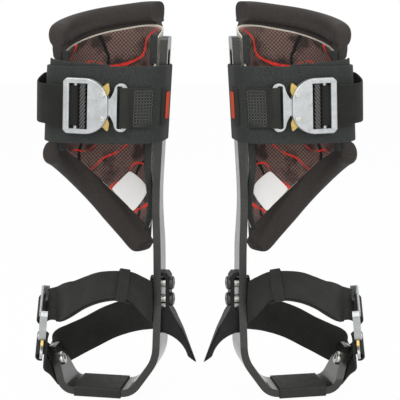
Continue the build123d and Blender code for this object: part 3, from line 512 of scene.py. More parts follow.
# noise scale, tones, roughness, bump height in metres, bump strength, the rest
steel = (120, tones((0.5, 0.49, 0.46), (0.6, 0.59, 0.56)), rough(0.25, 0.38), 0.0001, 0.1)
mottled = {
    "darkSteel": (60, tones((0.014, 0.014, 0.011), (0.022, 0.022, 0.018)), rough(0.26, 0.38), 0.0001, 0.1,
                  {"metallic": 0.3, "coat": 0.7, "specular": 0.3}),
    "blackForging": (90, tones((0.005, 0.005, 0.005), (0.013, 0.012, 0.012)), rough(0.34, 0.52), 0.0004, 0.4,
                     {"specular": 0.22}),
    "gripRubber": (150, tones((0.012, 0.012, 0.01), (0.024, 0.024, 0.02)), rough(0.45, 0.65), 0.0002, 0.25,
                   {"specular": 0.3}),
    "brightSteel": (*steel, {"metallic": 1.0}),
    "screwSteel": (*steel, {"metallic": 1.0, "blackAbove": 0.08}),
    "castAluminium": (110, tones((0.4, 0.415, 0.42), (0.49, 0.505, 0.51)), rough(0.3, 0.42), 0.0002, 0.25,
                      {"metallic": 0.7}),
    "clipBrass": (130, tones((0.42, 0.3, 0.09), (0.56, 0.42, 0.16)), rough(0.3, 0.44), 0.0001, 0.15,
                  {"metallic": 0.9}),
    "shellPlastic": (80, tones((0.6, 0.55, 0.45), (0.68, 0.63, 0.54)), rough(0.45, 0.6), 0.0001, 0.1, {}),
    "neoprene": (420, tones((0.033, 0.028, 0.026), (0.05, 0.044, 0.041)), rough(0.75, 0.9), 0.0003, 0.35,
                 {"sheen": 0.06, "specular": 0.2}),
    "bandFabric": (420, tones((0.024, 0.027, 0.025), (0.043, 0.047, 0.044)), rough(0.8, 0.92), 0.0003, 0.4,
                   {"sheen": 0.05, "specular": 0.15}),
    "thread": (600, tones((0.075, 0.08, 0.075), (0.13, 0.135, 0.13)), rough(0.7, 0.85), 0.0001, 0.2, {}),
}
materials = {}
for name, (scale, colours, polish, bump, strength, more) in mottled.items():
    values = {"Scale": float(scale), **colours, **polish}
    materials[name] = makeFinish(name, "mottle", values, bump, strength, **more)
# group, threads in a metre, tones, bump height in metres, bump strength, the rest
woven = {
    "webbing": ("weave", 620, tones((0.01, 0.0105, 0.009), (0.036, 0.037, 0.032)), 0.0005, 0.5, {}),
    "calfWebbing": ("weave", 620, tones((0.006, 0.006, 0.005), (0.022, 0.022, 0.019)), 0.0005, 0.5, {}),
    "label": ("weave", 1300, tones((0.92, 0.915, 0.895), (0.97, 0.965, 0.95)), 0.0002, 0.2, {}),
    "orangeTab": ("weave", 900, tones((0.5, 0.05, 0.015), (0.72, 0.09, 0.025)), 0.0003, 0.3, {}),
    "lining": ("marbled", 420, tones((0.08, 0.05, 0.044), (0.24, 0.15, 0.13)), 0.0006, 0.6,
               {"roughness": 0.85}),
}
for name, (group, threads, colours, bump, strength, more) in woven.items():
    values = {**{count: float(threads) for count in threadInputs}, **colours}
    materials[name] = makeFinish(name, group, values, bump, strength, sheen=0.04, specular=0.2, **more)
# knurl tones: the dark one is painted shade in the grooves, the light one painted highlight on the ridges
ridges = {"Ridges": 230.0, **tones((0.01, 0.01, 0.01), (0.11, 0.115, 0.11))}
materials["knurled"] = makeFinish("knurled_bar", "knurl", ridges, 0.0006, 0.8, roughness=0.42, metallic=0.4)
print("materials ready")

# finish of each CAD node and how wide its sharp edges are rounded, in millimetres
nodeFinish = {"leg_iron": ("darkSteel", 1.0), "footbed_grip": ("gripRubber", 1.5),
              "gaff": ("blackForging", 0.8), "gaff_bushes": ("brightSteel", 0),
              "button_screws": ("screwSteel", 0), "lock_nuts": ("blackForging", 0),
              "calf_shell": ("shellPlastic", 0), "shank_bracket": ("darkSteel", 0.5),
              "clamp_screws": ("brightSteel", 0), "calf_adjuster_bar": ("knurled", 0)}
buckleFinish = {"frame": ("castAluminium", 0.5), "tongue": ("castAluminium", 0.7),
                "clip_upper": ("clipBrass", 0.4), "clip_lower": ("clipBrass", 0.4),
                "clip_rivets": ("brightSteel", 0), "clip_springs": ("brightSteel", 0)}
for place in ("calf", "foot"):
    nodeFinish.update({f"{place}_{node}": finish for node, finish in buckleFinish.items()})
rounding = {"weldWithin": 0.00001, "flatWithin": 0.4, "sharpFrom": 35.0, "segments": 2}


def roundEdges(part, width):
    # the CAD triangles are welded, flat ones joined, then the sharp edges rounded
    part.modifiers.new("weld", "WELD").merge_threshold = rounding["weldWithin"]
    flat = part.modifiers.new("flat", "DECIMATE")
    flat.decimate_type = "DISSOLVE"
    flat.angle_limit = math.radians(rounding["flatWithin"])
    bevel = part.modifiers.new("edges", "BEVEL")
    bevel.width = width / 1000
    bevel.segments = rounding["segments"]
    bevel.limit_method = "ANGLE"
    bevel.angle_limit = math.radians(rounding["sharpFrom"])
    bevel.harden_normals = False
    part.modifiers.new("shading", "WEIGHTED_NORMAL").keep_sharp = True


for node, (finish, edgeWidth) in nodeFinish.items():
    for side in ("right", "left"):
        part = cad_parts[f"{side}_{node}"]
        part.data.materials.clear()
        part.data.materials.append(materials[finish])
        if edgeWidth:
            roundEdges(part, edgeWidth)
print("CAD nodes finished")

# Calf cup

band = {"thick": 2.6, "low": 72.0, "high": 159.0, "corner": (-33.0, -17.1), "side": (-92.2, -15.7),
        "outerX": 7.6, "heel": (-10.0, 7.0), "padGap": 0.7, "rearAngle": 60.0, "sideTurn": -20.0, "rows": 260}
# near, atStart and atEnd are where points lie, in from a rim's edge and from the pad's two ends
pad = {"thick": 7.5, "rim": 12.0, "lowRim": 13.8, "rimHalf": 11.0, "farHalf": 1.05, "fall": 0.75,
       "square": 2.7, "front": 7.4, "frontShift": 4.0, "round": 11.0, "cut": 2.5, "end": 38.0,
       "starts": {"top": 54.0, "middle": 50.0, "low": 54.5}, "lowSlant": 0.4, "lowRound": (26.0, 17.0),
       "rimToMiddle": (20.0, 29.0), "bandClear": 2.0, "bandFade": 7.0,
       "top": {"level": 208.8, "riseX": 0.135, "riseY": 0.25, "spread": 6.0},
       "low": {"level": -84.7, "riseX": -1.033, "riseY": -0.228, "spread": 8.0},
       "near": (0.02, 0.3, 0.9, 1.8, 3.0, 4.5, 6.3, 8.4, 10.6, 12.6, 14.6, 16.6, 18.4, 20.0, 21.4, 22.6, 23.6,
                24.6, 26.5, 29.0),
       "atStart": (0.02, 0.3, 0.8, 1.5, 2.4, 3.5, 5.0),
       "atEnd": (14.5, 12.0, 9.5, 7.0, 5.0, 3.4, 2.1, 1.1, 0.4, 0.02),
       "rows": 400, "steps": 111, "fillSteps": 13}
padOffset = (cup["shell"] + pad["thick"]) / 2 + cup["gap"]


def cupPlan(offset, medialEnd, count, spread=0.0):
    # an arc, the straight back, an arc and the straight outer side, moved outwards by offset
    radius = cup["radius"] + offset
    innerX, sideY = innerCentre
    outerX, rear = outerCentre[0] - spread, cup["rearY"] + offset
    start = math.degrees(math.asin(max(medialEnd - sideY, 0) / radius))
    parts = [arcPoints((innerX, sideY), radius, start, 90 - start),
             linePoints((innerX, rear), (outerX, rear)),
             arcPoints((outerX, sideY), radius, 90, 90),
             linePoints((outerX - radius, sideY), (outerX - radius, cup["frontY"]))]
    if medialEnd < sideY:
        parts.insert(0, linePoints((innerX + radius, medialEnd), (innerX + radius, sideY)))
    return evenly(joined(*parts), count)


def slopeHeight(plan, slope):
    # a sloping plane over the plan
    return slope["level"] + slope["riseX"] * plan[..., 0] + slope["riseY"] * plan[..., 1]


def closing(e, radius):
    # 0 at the edge, 1 from the radius on: a quarter of a superellipse
    n = pad["square"]
    return (1 - (1 - np.clip(e / radius, 0, 1)) ** n) ** (1 / n)


def swelling(e, radius):
    # 1 up to the radius, then the far half of the roll down to 0
    n = pad["square"]
    return (1 - np.clip((e - radius) / (pad["farHalf"] * radius), 0, 1) ** n) ** (1 / n)


def falling(e, radius):
    # 1 up to the radius, then a bell curve down to 0
    return np.exp(-(np.maximum(e - radius, 0) / (pad["fall"] * radius)) ** 2)[None, :, None]


def roundIn(share):
    # how far a round corner draws in: nothing at a share of 0, its whole radius at 1
    return 1 - np.sqrt(1 - np.clip(share, 0, 1) ** 2)


def arcLength(y):
    # length along the pad's plan to where its inner arc reaches y
    radius, sideY = cup["radius"] + padOffset, innerCentre[1]
    return radius * (math.asin((y - sideY) / radius) - math.asin((pad["end"] - sideY) / radius))


def padStart(eLow, eTop):
    # where the pad begins along its plan: each rim has its own cut, the lower one slanting and rounded
    starts = {name: arcLength(y) for name, y in pad["starts"].items()}
    slanting = starts["low"] + pad["lowSlant"] * (pad["lowRim"] - eLow)
    cornerAlong, cornerUp = pad["lowRound"]
    rimStart = np.where(eLow < eTop, slanting, starts["top"]) + cornerAlong * roundIn(1 - eLow / cornerUp)
    rimEnds, middleBegins = pad["rimToMiddle"]
    toMiddle = np.clip((np.minimum(eLow, eTop) - rimEnds) / (middleBegins - rimEnds), 0, 1)
    return rimStart + toMiddle * (starts["middle"] - rimStart)


def calfPad():
    # P(s, e) = M(s, e) +- h(s, e) * normal. e is the distance from the nearer sloping edge, M the cup's plan,
    # spread outwards at the rims, and h the half thickness: thin, swollen at the rims and the front edge,
    # and closing to nothing at every edge.
    spreads = (0.0, pad["top"]["spread"], pad["low"]["spread"])
    plan, planTop, planLow = (cupPlan(padOffset, pad["end"], pad["rows"], spread) for spread in spreads)
    far = lengths(plan)
    rim, lowRim, thin = pad["rim"], pad["lowRim"], pad["thick"] / 2
    near = np.array(pad["near"])
    n = len(near)
    fill = np.linspace(0, 1, pad["fillSteps"] + 1)[1:-1]
    eLow = np.r_[near, np.full(len(fill) + n, 99.0)]  # columns past the rim count as far away
    eTop = eLow[::-1]
    start = padStart(eLow, eTop)
    end = far[-1] - pad["round"] * roundIn(1 - np.minimum(eLow, eTop) / pad["round"])
    first, last = start + np.array(pad["atStart"])[:, None], end - np.array(pad["atEnd"])[:, None]
    share = np.linspace(0, 1, pad["steps"] + 1)[1:-1, None]
    s = np.concatenate([first, first[-1] + share * (last[0] - first[-1]), last])
    eStart, eEnd = s - start, end - s

    def steepness(planEdge, slope):
        # how much longer a vertical step is than a step square to the sloping edge
        return np.interp(s, far, np.hypot(1, np.gradient(slopeHeight(planEdge, slope), far)))

    base, top, low = (readOff(s, far, points) for points in (plan, planTop, planLow))
    zTop, zLow = slopeHeight(top, pad["top"]), slopeHeight(low, pad["low"])
    stretchTop, stretchLow = steepness(planTop, pad["top"]), steepness(planLow, pad["low"])
    z = np.zeros_like(s)
    z[:, :n] = zLow[:, :n] + (near - lowRim) * stretchLow[:, :n]
    z[:, -n:] = zTop[:, -n:] - (near[::-1] - rim) * stretchTop[:, -n:]
    z[:, n:-n] = z[:, n - 1:n] + fill * (z[:, -n:1 - n] - z[:, n - 1:n])
    # the front edge is swollen only above and below the band
    above, below = z - band["high"] - pad["bandClear"], band["low"] - pad["bandClear"] - z
    outside = np.clip(above / pad["bandFade"], 0, 1) + np.clip(below / pad["bandFade"], 0, 1)
    front = swelling(eEnd, pad["front"]) * outside
    rims = np.maximum(swelling(eLow, lowRim), swelling(eTop, rim))
    half = np.maximum(thin + (pad["rimHalf"] - thin) * rims, thin + (pad["front"] - thin) * front)
    half = half * closing(eLow, lowRim) * closing(eTop, rim)
    half = half * closing(eStart, pad["cut"]) * closing(eEnd, pad["front"])
    normal = unit(readOff(s, far, planNormals(plan)[0]))
    fallLow, fallTop = falling(eLow, lowRim), falling(eTop, rim)
    base = base + fallLow * (low - base) + fallTop * (top - base)
    base = base + normal * (pad["frontShift"] * front * (1 - np.maximum(fallLow, fallTop)[..., 0]))[..., None]
    out = normal * half[..., None]
    return closedSheet(lifted(base + out, z), lifted(base - out, z), np.stack([s, z], -1))


for piece in addPiece("calf_pad_cover", calfPad(), "neoprene", "calf_cup", "calf_pad", 70):
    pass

lining = {"thick": 4.5, "frontY": -14.0, "endRoom": 2.3, "rows": 150, "columns": 40,
          "cornerLevel": 13.4, "cornerSlope": 0.68,
          "top": {"level": 192.3, "riseX": 0.18, "riseY": 0.3},
          "low": {"level": -44.0, "riseX": -0.87, "riseY": -0.283}}
liningOffset = -(cup["shell"] + lining["thick"]) / 2 - cup["gap"]


def cornerCut(y):
    # height of the slanting cut at the lining's lower front corner
    return (lining["cornerLevel"] - y) / lining["cornerSlope"]


def padLining():
    # a wall inside the shell, between a sloping top and the higher of a sloping bottom and the corner's cut
    plan = cupPlan(liningOffset, lining["frontY"] + lining["endRoom"], lining["rows"])
    low = np.maximum(slopeHeight(plan, lining["low"]), cornerCut(plan[:, 1]))
    top = slopeHeight(plan, lining["top"])
    return flatWall(plan, low, top, lining["thick"], columns=lining["columns"])


for piece in addPiece("lining_panel", padLining(), "lining", "calf_cup", "pad_lining"):
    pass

binding = {"wide": 8.4, "thick": 5.0, "offset": -2.4, "edgeY": -13.0, "upper": (160.5, 193.0), "lower": 70.0,
           "tail": 44.0, "aboveCut": 1.5, "bend": (2.0, 6.0), "outer": ((56.0, 73.0), (158.0, 174.0)),
           "outerY": 1.0, "stations": 4, "tailStations": 12, "steps": 6}


def edgeBinding():
    # tapes folded over the two front edges of shell and lining, above and below the band
    def onInner(y, z):
        radius = cup["radius"] + binding["offset"]
        turn = math.asin(max(y - innerCentre[1], 0) / radius)
        x = innerCentre[0] + radius * math.cos(turn)
        return fromCup(np.array([x, y, z])), np.array([math.cos(turn), math.sin(turn), 0])

    def onOuter(z):
        x = cup["lateralX"] - binding["offset"]
        return fromCup(np.array([x, binding["outerY"], z])), np.array([1.0, 0, 0])

    def cutAt(y):
        return cornerCut(y) + binding["aboveCut"]

    y, count = binding["edgeY"], binding["stations"]
    bendY, bendZ = binding["bend"]
    above = [onInner(y, z) for z in np.linspace(*binding["upper"], count)]
    below = [onInner(y, z) for z in np.linspace(binding["lower"], cutAt(y) + bendZ, count)]
    below += [onInner(v, cutAt(v)) for v in np.linspace(y + bendY, binding["tail"], binding["tailStations"])]
    outer = [[onOuter(z) for z in np.linspace(*ends, count)] for ends in binding["outer"]]
    frames = [stripFrames(stations, binding["steps"]) for stations in (above, below, *outer)]
    return joinShapes(*(ribbon(tape, binding["thick"], binding["wide"]) for tape in frames))


addPiece("lining_binding", edgeBinding(), "bandFabric", "calf_cup")
skin = band["thick"] / 2
bandFront = band["corner"][1] - (band["outerX"] - skin - band["corner"][0])


def bandPlan():
    # round the pad's back, straight to the bar's heel, round the bar, across the front
    # and round the outer side
    sideX = band["outerX"] - skin
    corner = sideX - band["corner"][0]
    lateral = band["side"][1] - bandFront
    back = cup["radius"] + cup["shell"] / 2 + cup["gap"] + pad["thick"] + band["padGap"] + skin
    x, y = band["heel"]
    roundOff = sideX - x
    across, along = x - innerCentre[0], y - innerCentre[1]
    turn = math.atan2(along, across) + math.acos((back - roundOff) / math.hypot(across, along))
    leave = (x + roundOff * math.cos(turn), y + roundOff * math.sin(turn))
    meet = (innerCentre[0] + back * math.cos(turn), innerCentre[1] + back * math.sin(turn))
    deg = math.degrees(turn)
    sx, sy = band["side"]
    return joined(
        arcPoints(innerCentre, back, band["rearAngle"], deg - band["rearAngle"]), linePoints(meet, leave),
        arcPoints((x, y), roundOff, deg, -deg), linePoints((sideX, y), (sideX, band["corner"][1])),
        arcPoints(band["corner"], corner, 0, -90),
        linePoints((band["corner"][0], bandFront), (sx, bandFront)),
        arcPoints(band["side"], lateral, -90, -90),
        linePoints((sx - lateral, sy), (sx - lateral, outerCentre[1])),
        arcPoints(outerCentre, outerCentre[0] - sx + lateral, 180, band["sideTurn"]))


bandLine = bandPlan()
cuff = flatWall(evenly(bandLine, band["rows"]), band["low"], band["high"], band["thick"])
for piece in addPiece("cuff_band_cloth", cuff, "bandFabric", "calf_cup", "cuff_band"):
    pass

underlap = {"thick": 2.2, "inside": 3.0, "low": 120.0, "high": (167.0, 160.5), "toX": -52.0,
            "startAngle": 205.0}


def underlapPlan():
    # the band's inner end, seen as a strip above the band's edge: round the outer side, then across the front
    front = bandFront + underlap["inside"]
    start = underlap["startAngle"]
    return joined(arcPoints(band["side"], band["side"][1] - front, start, 270 - start),
                  linePoints((band["side"][0], front), (underlap["toX"], front)))


underLine = underlapPlan()
slopingTop = np.linspace(*underlap["high"], len(underLine))
flap = flatWall(underLine, underlap["low"], slopingTop, underlap["thick"])
for piece in addPiece("band_underlap", flap, "bandFabric", "calf_cup"):
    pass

# corners: top, right, bottom and left, as length along the lining from startY and height
label = {"corners": ((54.0, 26.0), (18.0, 6.0), (46.5, -25.0), (76.5, 2.5)), "startY": 16.0, "thick": 0.7,
         "lift": 0.1, "columns": 16, "rounding": 0.045, "sharpness": 8, "planPoints": 300}


def blankLabel():
    # P(u, v): a small four-sided cloth, bilinear between its corners, that follows the lining's inner face
    half = label["thick"] / 2
    offset = liningOffset - lining["thick"] / 2 - half - label["lift"]
    inner = cupPlan(offset, label["startY"], label["planPoints"])
    far, normal = lengths(inner), planNormals(inner)[0]
    side = np.linspace(-1, 1, label["columns"])
    u, v = np.meshgrid(side, side, indexing="ij")
    # near the corners the points are pulled towards the middle, which rounds them
    pulled = 1 - label["rounding"] * (u * v) ** label["sharpness"]
    u, v = (pulled * u)[..., None], (pulled * v)[..., None]
    top, right, bottom, left = np.array(label["corners"])
    at = ((1 - u) * ((1 - v) * top + (1 + v) * right) + (1 + u) * ((1 - v) * left + (1 + v) * bottom)) / 4
    middle = lifted(readOff(at[..., 0], far, inner), at[..., 1])
    out = lifted(readOff(at[..., 0], far, normal), 0.0) * half
    return closedSheet(middle + out, middle - out, at)


for piece in addPiece("lining_label", blankLabel(), "label", "calf_cup"):
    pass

# Calf webbing

calfWeb = {"thick": 1.8, "standOff": 43.0, "sideX": -141.2, "crossbar": (13.0, 2.7, 2.4), "tongueBar": 70.0,
           "barGap": 0.2, "endTurn": -8.0, "rise": 9.0, "riseFrom": -48.0, "riseTo": 0.0, "levelEnd": 60.0}


def standingWeb(plan, level, place):
    # webbing on edge along a plan, its middle at the given height
    return flatWall(plan, level - webWidth / 2, level + webWidth / 2, calfWeb["thick"], place, endCap=False)


def calfStrap():
    # from the back of the pad, off the side of the leg, round the crossbar and back under itself
    half = calfWeb["thick"] / 2
    bx, bz, br = calfWeb["crossbar"]
    loopX, loopY = strapPlane["buckleX"] + bx, strapPlane["buckleY"] - bz
    loop = br + calfWeb["barGap"] + half
    outerY = loopY - loop
    innerX, sideX = outerCentre[0], calfWeb["sideX"]
    rear = cup["rearY"] + cup["shell"] / 2 + pad["thick"] + 2 * cup["gap"] + half
    sweep = innerX - sideX
    turnX, turnY = sideX + calfWeb["standOff"], outerY + calfWeb["standOff"]
    plan = joined(
        linePoints((innerCentre[0], rear), (innerX, rear)),
        arcPoints((innerX, rear - sweep), sweep, 90, 90),
        linePoints((sideX, rear - sweep), (sideX, turnY)),
        arcPoints((turnX, turnY), calfWeb["standOff"], 180, 90),
        linePoints((turnX, outerY), (loopX, outerY)), arcPoints((loopX, loopY), loop, -90, 180, step=0.7),
        linePoints((loopX, loopY + loop), (band["side"][0], loopY + loop)),
        arcPoints(band["side"], band["side"][1] - loopY - loop, -90, calfWeb["endTurn"]))
    # the strap climbs a little as it goes round the side of the leg; its end under the buckle stays level
    t = np.clip((plan[:, 1] - calfWeb["riseFrom"]) / (calfWeb["riseTo"] - calfWeb["riseFrom"]), 0, 1)
    climb = calfWeb["rise"] * t * t * (3 - 2 * t)
    climb[lengths(plan) > lengths(plan)[-1] - calfWeb["levelEnd"]] = 0
    return standingWeb(plan, climb, fromStrap)


# angles round the band's corner and round the tongue's bar, in pairs of start and turn
tongueWeb = {"tail": (-84.0, 41.0), "sewn": (-75.0, 31.0), "roll": (75.0, 285.0), "loop": 3.7, "plate": 4.75,
             "dip": ((0.0, 0.0), (0.4, 2.6), (1.6, 4.6)), "layerGap": 0.1}
cornerRadius = band["outerX"] - band["corner"][0]


def tongueStrap():
    # sewn to the band round its corner, then round the tongue's bar and back onto itself
    half = calfWeb["thick"] / 2
    radius = cornerRadius + cup["gap"] + half
    tail = standingWeb(arcPoints(band["corner"], radius, *tongueWeb["tail"]), strapPlane["height"], fromCup)
    loop = tongueWeb["loop"] + half
    x, y = strapPlane["buckleX"] + calfWeb["tongueBar"], strapPlane["buckleY"] - tongueWeb["plate"]
    sewn = arcPoints(band["corner"], radius + 2 * half + tongueWeb["layerGap"], *tongueWeb["sewn"], step=6)
    dip = [(x + loop + dx, y + dy) for dx, dy in tongueWeb["dip"]]
    roll = arcPoints((x, y), loop, *tongueWeb["roll"], step=0.8)
    plan = joined(roll, smoothThrough([*dip, *sewn], steps=6))
    return joinShapes(tail, standingWeb(plan, 0.0, fromStrap))


addPiece("calf_webbing", calfStrap(), "calfWebbing", "calf_cup", "calf_strap")
addPiece("tongue_webbing", tongueStrap(), "webbing", "calf_cup", "tongue_strap")

stitching = {"rows": 12, "columns": 7, "angles": (-72.5, -45.5), "tall": 19.5, "size": (1.45, 0.34, 0.32),
             "lift": 0.15}


def boxStitches():
    # a grid of stitches on the sewn webbing: rows along it, and columns whose stitches lie between the rows
    radius = cornerRadius + cup["gap"] + 2 * calfWeb["thick"] + stitching["lift"]
    turns = np.radians(np.linspace(*stitching["angles"], stitching["columns"]))
    heights = strapPlane["height"] + np.linspace(-1, 1, stitching["rows"]) * stitching["tall"]

    def stitches(turns, heights, upright):
        turn, height = (v.ravel() for v in np.meshgrid(turns, heights))
        flat = np.zeros_like(turn)
        x, y = band["corner"][0] + radius * np.cos(turn), band["corner"][1] + radius * np.sin(turn)
        out = np.stack([np.cos(turn), np.sin(turn), flat], -1)
        along = np.stack([flat, flat, flat + 1] if upright else [-np.sin(turn), np.cos(turn), flat], -1)
        return beads(fromCup(np.stack([x, y, height], -1)), along, out, stitching["size"])

    betweenTurns, betweenHeights = ((v[1:] + v[:-1]) / 2 for v in (turns, heights))
    return joinShapes(stitches(betweenTurns, heights, False), stitches(turns, betweenHeights, True))


addPiece("tongue_stitches", boxStitches(), "thread", "calf_cup")

patch = {"thick": 1.6, "angle": 21.0, "straight": 9.0, "low": 91.5, "high": 133.5, "lift": 0.2}
tab = {"thick": 1.2, "angle": 9.0, "straight": 4.0, "low": 98.5, "high": 129.0, "lift": patch["thick"] + 0.3}


def cornerPatch(shape):
    # a flat piece on the band's inner corner: an angle up to the corner's end and a straight length past it
    radius = cornerRadius + shape["lift"] + shape["thick"] / 2
    x, y = band["corner"][0] + radius, band["corner"][1]
    plan = joined(arcPoints(band["corner"], radius, -shape["angle"], shape["angle"]),
                  linePoints((x, y), (x, y + shape["straight"]), step=1.5))
    return flatWall(plan, shape["low"], shape["high"], shape["thick"])


addPiece("band_patch", cornerPatch(patch), "webbing", "calf_cup")
addPiece("band_tab", cornerPatch(tab), "orangeTab", "calf_cup")
print("calf cup and its straps made")

# Foot straps: routes are listed stations of (middle, width direction)

footWeb = {"thick": 2.4, "armScrew": (-56.511, -6.0, 36.0), "armLean": 20.0, "innerX": 63.2, "rest": 0.5,
           "gap": 0.4, "barThick": 9.0, "armPlaces": ((-24, -1), (-8, -4), (6, -6.5)), "loop": 4.4,
           "loopStations": 7, "frameAngles": (200, -90), "tongueAngles": (-20, 270), "steps": 10,
           "tailThick": 1.6, "tailGap": 0.2, "tailShift": -1.8, "tailEase": 12, "pastKeeper": 6}
keeper = {"at": 3.375, "steps": 8, "inside": (46.5, 7.0), "wall": 1.6, "wide": 12.5, "corner": 2.4,
          "slant": 0.2, "points": 90}
armLean = math.radians(footWeb["armLean"])
armOut = np.array([-math.cos(armLean), 0, -math.sin(armLean)])
armUp = np.array([-math.sin(armLean), 0, math.cos(armLean)])
besideBuckle = [(onFootBuckle(9.5, 0, -4), (-0.2, 0.72, 0.67)),
                (onFootBuckle(5, 1, -11), (-0.17, 0.6, 0.78))]
instep = [((-24, -62, 128), (-0.16, 0.7, 0.69)), ((-5, -68, 139), (-0.14, 0.8, 0.59)),
          ((14, -70, 147), (-0.17, 0.83, 0.53)), ((34, -66, 149), (-0.15, 0.86, 0.47)),
          ((48, -57, 144), (-0.1, 0.87, 0.48))]
heel = [((58, -38, 130), (0, 0.75, 0.66)), ((62.2, -20, 119), (0, 0.4, 0.91)),
        ((footWeb["innerX"], -7, 112.5), (0, 0.15, 0.98)), ((footWeb["innerX"], 7, 105), (0.04, 0.05, 1)),
        ((61.9, 20, 98), (0.04, 0.1, 0.99)), ((47, 42, 88), (-0.05, -0.1, 0.99)),
        ((20, 60, 77), (-0.12, -0.2, 0.97)), ((-9, 66, 65), (-0.14, -0.2, 0.97)),
        ((-34, 60, 52), (-0.15, -0.15, 0.97)), ((-53, 46, 44), (-0.22, -0.05, 0.97)),
        ((-63, 32, 40), (-0.3, 0.03, 0.95))]


def onArm(forward, up, layer):
    # on the outer side of the arm, given from its screw, in the given layer of strap
    stand = footWeb["barThick"] / 2 + footWeb["rest"] + footWeb["thick"] / 2
    stand = stand + layer * (footWeb["thick"] + footWeb["gap"])
    return np.array(footWeb["armScrew"]) + armOut * stand + np.array([0, -forward, 0]) + armUp * up


def loopStations(bar, freeEnd, leaving):
    # round one of the foot buckle's bars, between two angles from the buckle's run towards its outside
    reach = footWeb["loop"] + footWeb["thick"] / 2
    angles = np.radians(np.linspace(freeEnd, leaving, footWeb["loopStations"]))
    return [(bar + footRun * reach * math.cos(a) + footOut * reach * math.sin(a), footAcross) for a in angles]


def footStrap():
    # round the frame's crossbar, over the instep, inside the shank, round the heel and onto the arm;
    # the free end lies under the instep part, a little lower, as far as the keeper
    steps = footWeb["steps"]
    bar = onFootBuckle(footBuckle["crossbar"][0], 0, footBuckle["crossbar"][1])
    stations = loopStations(bar, *footWeb["frameAngles"]) + besideBuckle + instep + heel
    stations += [(onArm(forward, up, 0), armUp) for forward, up in footWeb["armPlaces"]]
    main = ribbon(stripFrames(stations, steps), footWeb["thick"])
    last = int((1 + keeper["at"]) * steps) + footWeb["pastKeeper"]
    middle, run, out, across = (v[:last] for v in stripFrames(besideBuckle[1:] + instep, steps))
    under = (footWeb["thick"] + footWeb["tailThick"]) / 2 + footWeb["tailGap"]
    shift = footWeb["tailShift"] * np.clip(np.arange(last) / footWeb["tailEase"], 0, 1)[:, None]
    tail = (middle - out * under + across * shift, run, out, across)
    return joinShapes(main, ribbon(tail, footWeb["tailThick"]))


stirrup = {"before": 14.0, "raised": 2.0, "past": 20.0}


def stirrupStrap():
    # round the tongue's bar, then over the foot strap's end to the arm's screw
    bar = onFootBuckle(footBuckle["tongueBar"], 0, footBuckle["plateMiddle"])
    loop = loopStations(bar, *footWeb["tongueAngles"])
    screw = onArm(0, 0, 1)
    aim = screw - loop[-1][0]
    run = unit(aim - armOut * aim.dot(armOut))
    across = np.cross(run, armOut)
    before = screw - run * stirrup["before"] + armOut * stirrup["raised"]
    stations = loop + [(place, across) for place in (before, screw, screw + run * stirrup["past"])]
    return ribbon(stripFrames(stations, footWeb["steps"]), footWeb["thick"])


def strapKeeper():
    # a closed band round the instep strap, its outline a rounded rectangle
    at = int(keeper["at"] * keeper["steps"])
    middle, run, out, across = (v[at] for v in stripFrames(instep + heel, keeper["steps"]))
    across = unit(across + run * keeper["slant"])
    radius = keeper["corner"]
    wide, tall = (v / 2 + keeper["wall"] / 2 - radius for v in keeper["inside"])
    corners = [(1, 1), (-1, 1), (-1, -1), (1, -1)]
    parts = [arcPoints((sx * wide, sy * tall), radius, 90 * k, 90, step=0.8)
             for k, (sx, sy) in enumerate(corners)]
    line = evenly(np.concatenate(parts + [parts[0][:1]]), keeper["points"])[:-1]
    points = middle + across * line[:, :1] + out * line[:, 1:]
    step = unit(np.roll(line, -1, 0) - np.roll(line, 1, 0))
    normal = across * step[:, 1:] - out * step[:, :1]
    frames = (points, None, normal, np.broadcast_to(run, points.shape))
    return ribbon(frames, keeper["wall"], keeper["wide"], closed=True)


addPiece("foot_webbing", footStrap(), "webbing", "climber_iron", "foot_strap")
addPiece("stirrup_webbing", stirrupStrap(), "webbing", "climber_iron", "stirrup_strap")
addPiece("keeper_webbing", strapKeeper(), "webbing", "climber_iron", "strap_keeper")
print("foot straps made")

# Stage, light and camera

view = {"place": (0.0, -1.2636, 0.4575), "pitch": 9.8, "field": 20.98, "clipEnd": 50}
scene = bpy.context.scene
scene.view_settings.view_transform = "Standard"
camera = bpy.data.objects.new("camera", bpy.data.cameras.new("camera"))
camera.location = view["place"]
camera.rotation_euler = (math.radians(90 - view["pitch"]), 0, 0)
camera.data.sensor_fit = "HORIZONTAL"
camera.data.angle = math.radians(view["field"])
camera.data.clip_end = view["clipEnd"]
scene.collection.objects.link(camera)
scene.camera = camera

lamps = {"key": {"place": (-0.9, -1.3, 1.6), "target": (0, 0, 0.25), "size": 1.0, "power": 12},
         "fill": {"place": (1.2, -1.2, 1.0), "target": (0, 0, 0.25), "size": 1.2, "power": 7},
         "top": {"place": (0, 0.3, 1.7), "target": (0, 0, 0.2), "size": 1.4, "power": 8},
         "front": {"place": (0, -2.1, 0.75), "target": (0, 0, 0.25), "size": 1.4, "power": 12}}
stage = {"worldLight": 0.5, "reach": 6.0, "paper": (0.9, 0.9, 0.9, 1), "paperRough": 0.9, "glowShare": 0.97}


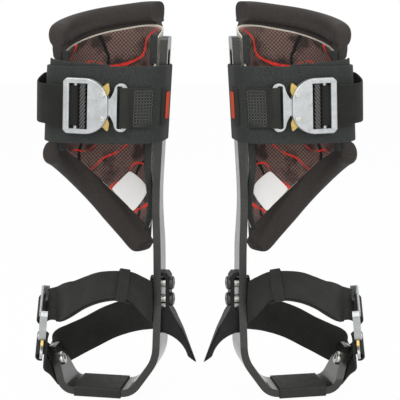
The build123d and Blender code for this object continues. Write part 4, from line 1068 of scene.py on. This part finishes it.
def addLamp(name, place, target, size, power):
    lamp = bpy.data.lights.new(name, "AREA")
    lamp.size = size
    lamp.energy = power
    item = bpy.data.objects.new(name, lamp)
    item.location = place
    aim = np.array(target) - np.array(place)
    tilt = math.acos(-aim[2] / np.linalg.norm(aim))
    item.rotation_euler = (tilt, 0, math.atan2(aim[1], aim[0]) - math.pi / 2)
    scene.collection.objects.link(item)


def seenBy(tree, *rays):
    # 1 for light paths of the named kinds, 0 for the rest
    path = tree.nodes.new("ShaderNodeLightPath")
    seen = path.outputs[rays[0]]
    for ray in rays[1:]:
        seen = mathNode(tree, "MAXIMUM", seen, path.outputs[ray])
    return seen


def addWorld():
    # white where it is seen, and a plain light on the object
    world = bpy.data.worlds.new("studio")
    scene.world = world
    world.use_nodes = True
    tree = world.node_tree
    tree.nodes.clear()
    seen = seenBy(tree, "Is Camera Ray", "Is Glossy Ray", "Is Transmission Ray")
    level = times(tree, seen, 1 - stage["worldLight"], stage["worldLight"])
    light = addNode(tree, "ShaderNodeBackground", {"Color": (1, 1, 1, 1), "Strength": level})
    tree.links.new(light.outputs[0], tree.nodes.new("ShaderNodeOutputWorld").inputs[0])


def addFloor():
    # white paper: mostly a glow where it is seen, so that the object's shadow stays faint
    reach = stage["reach"]
    corners = [(-reach, -reach, 0), (reach, -reach, 0), (reach, reach, 0), (-reach, reach, 0)]
    mesh = bpy.data.meshes.new("floor")
    mesh.from_pydata(corners, [], [(0, 1, 2, 3)])
    material = bpy.data.materials.new("floor_paper")
    material.use_nodes = True
    tree = material.node_tree
    shader = tree.nodes["Principled BSDF"]
    shader.inputs["Base Color"].default_value = stage["paper"]
    shader.inputs["Roughness"].default_value = stage["paperRough"]
    glow = addNode(tree, "ShaderNodeEmission", {"Color": (1, 1, 1, 1), "Strength": 1.0})
    share = times(tree, seenBy(tree, "Is Camera Ray", "Is Glossy Ray"), stage["glowShare"])
    mix = addNode(tree, "ShaderNodeMixShader", {0: share, 1: shader.outputs[0], 2: glow.outputs[0]})
    tree.links.new(mix.outputs[0], tree.nodes["Material Output"].inputs[0])
    mesh.materials.append(material)
    floor = bpy.data.objects.new("floor", mesh)
    scene.collection.objects.link(floor)


for name, lamp in lamps.items():
    addLamp(name, **lamp)
addWorld()
addFloor()
print("stage ready")
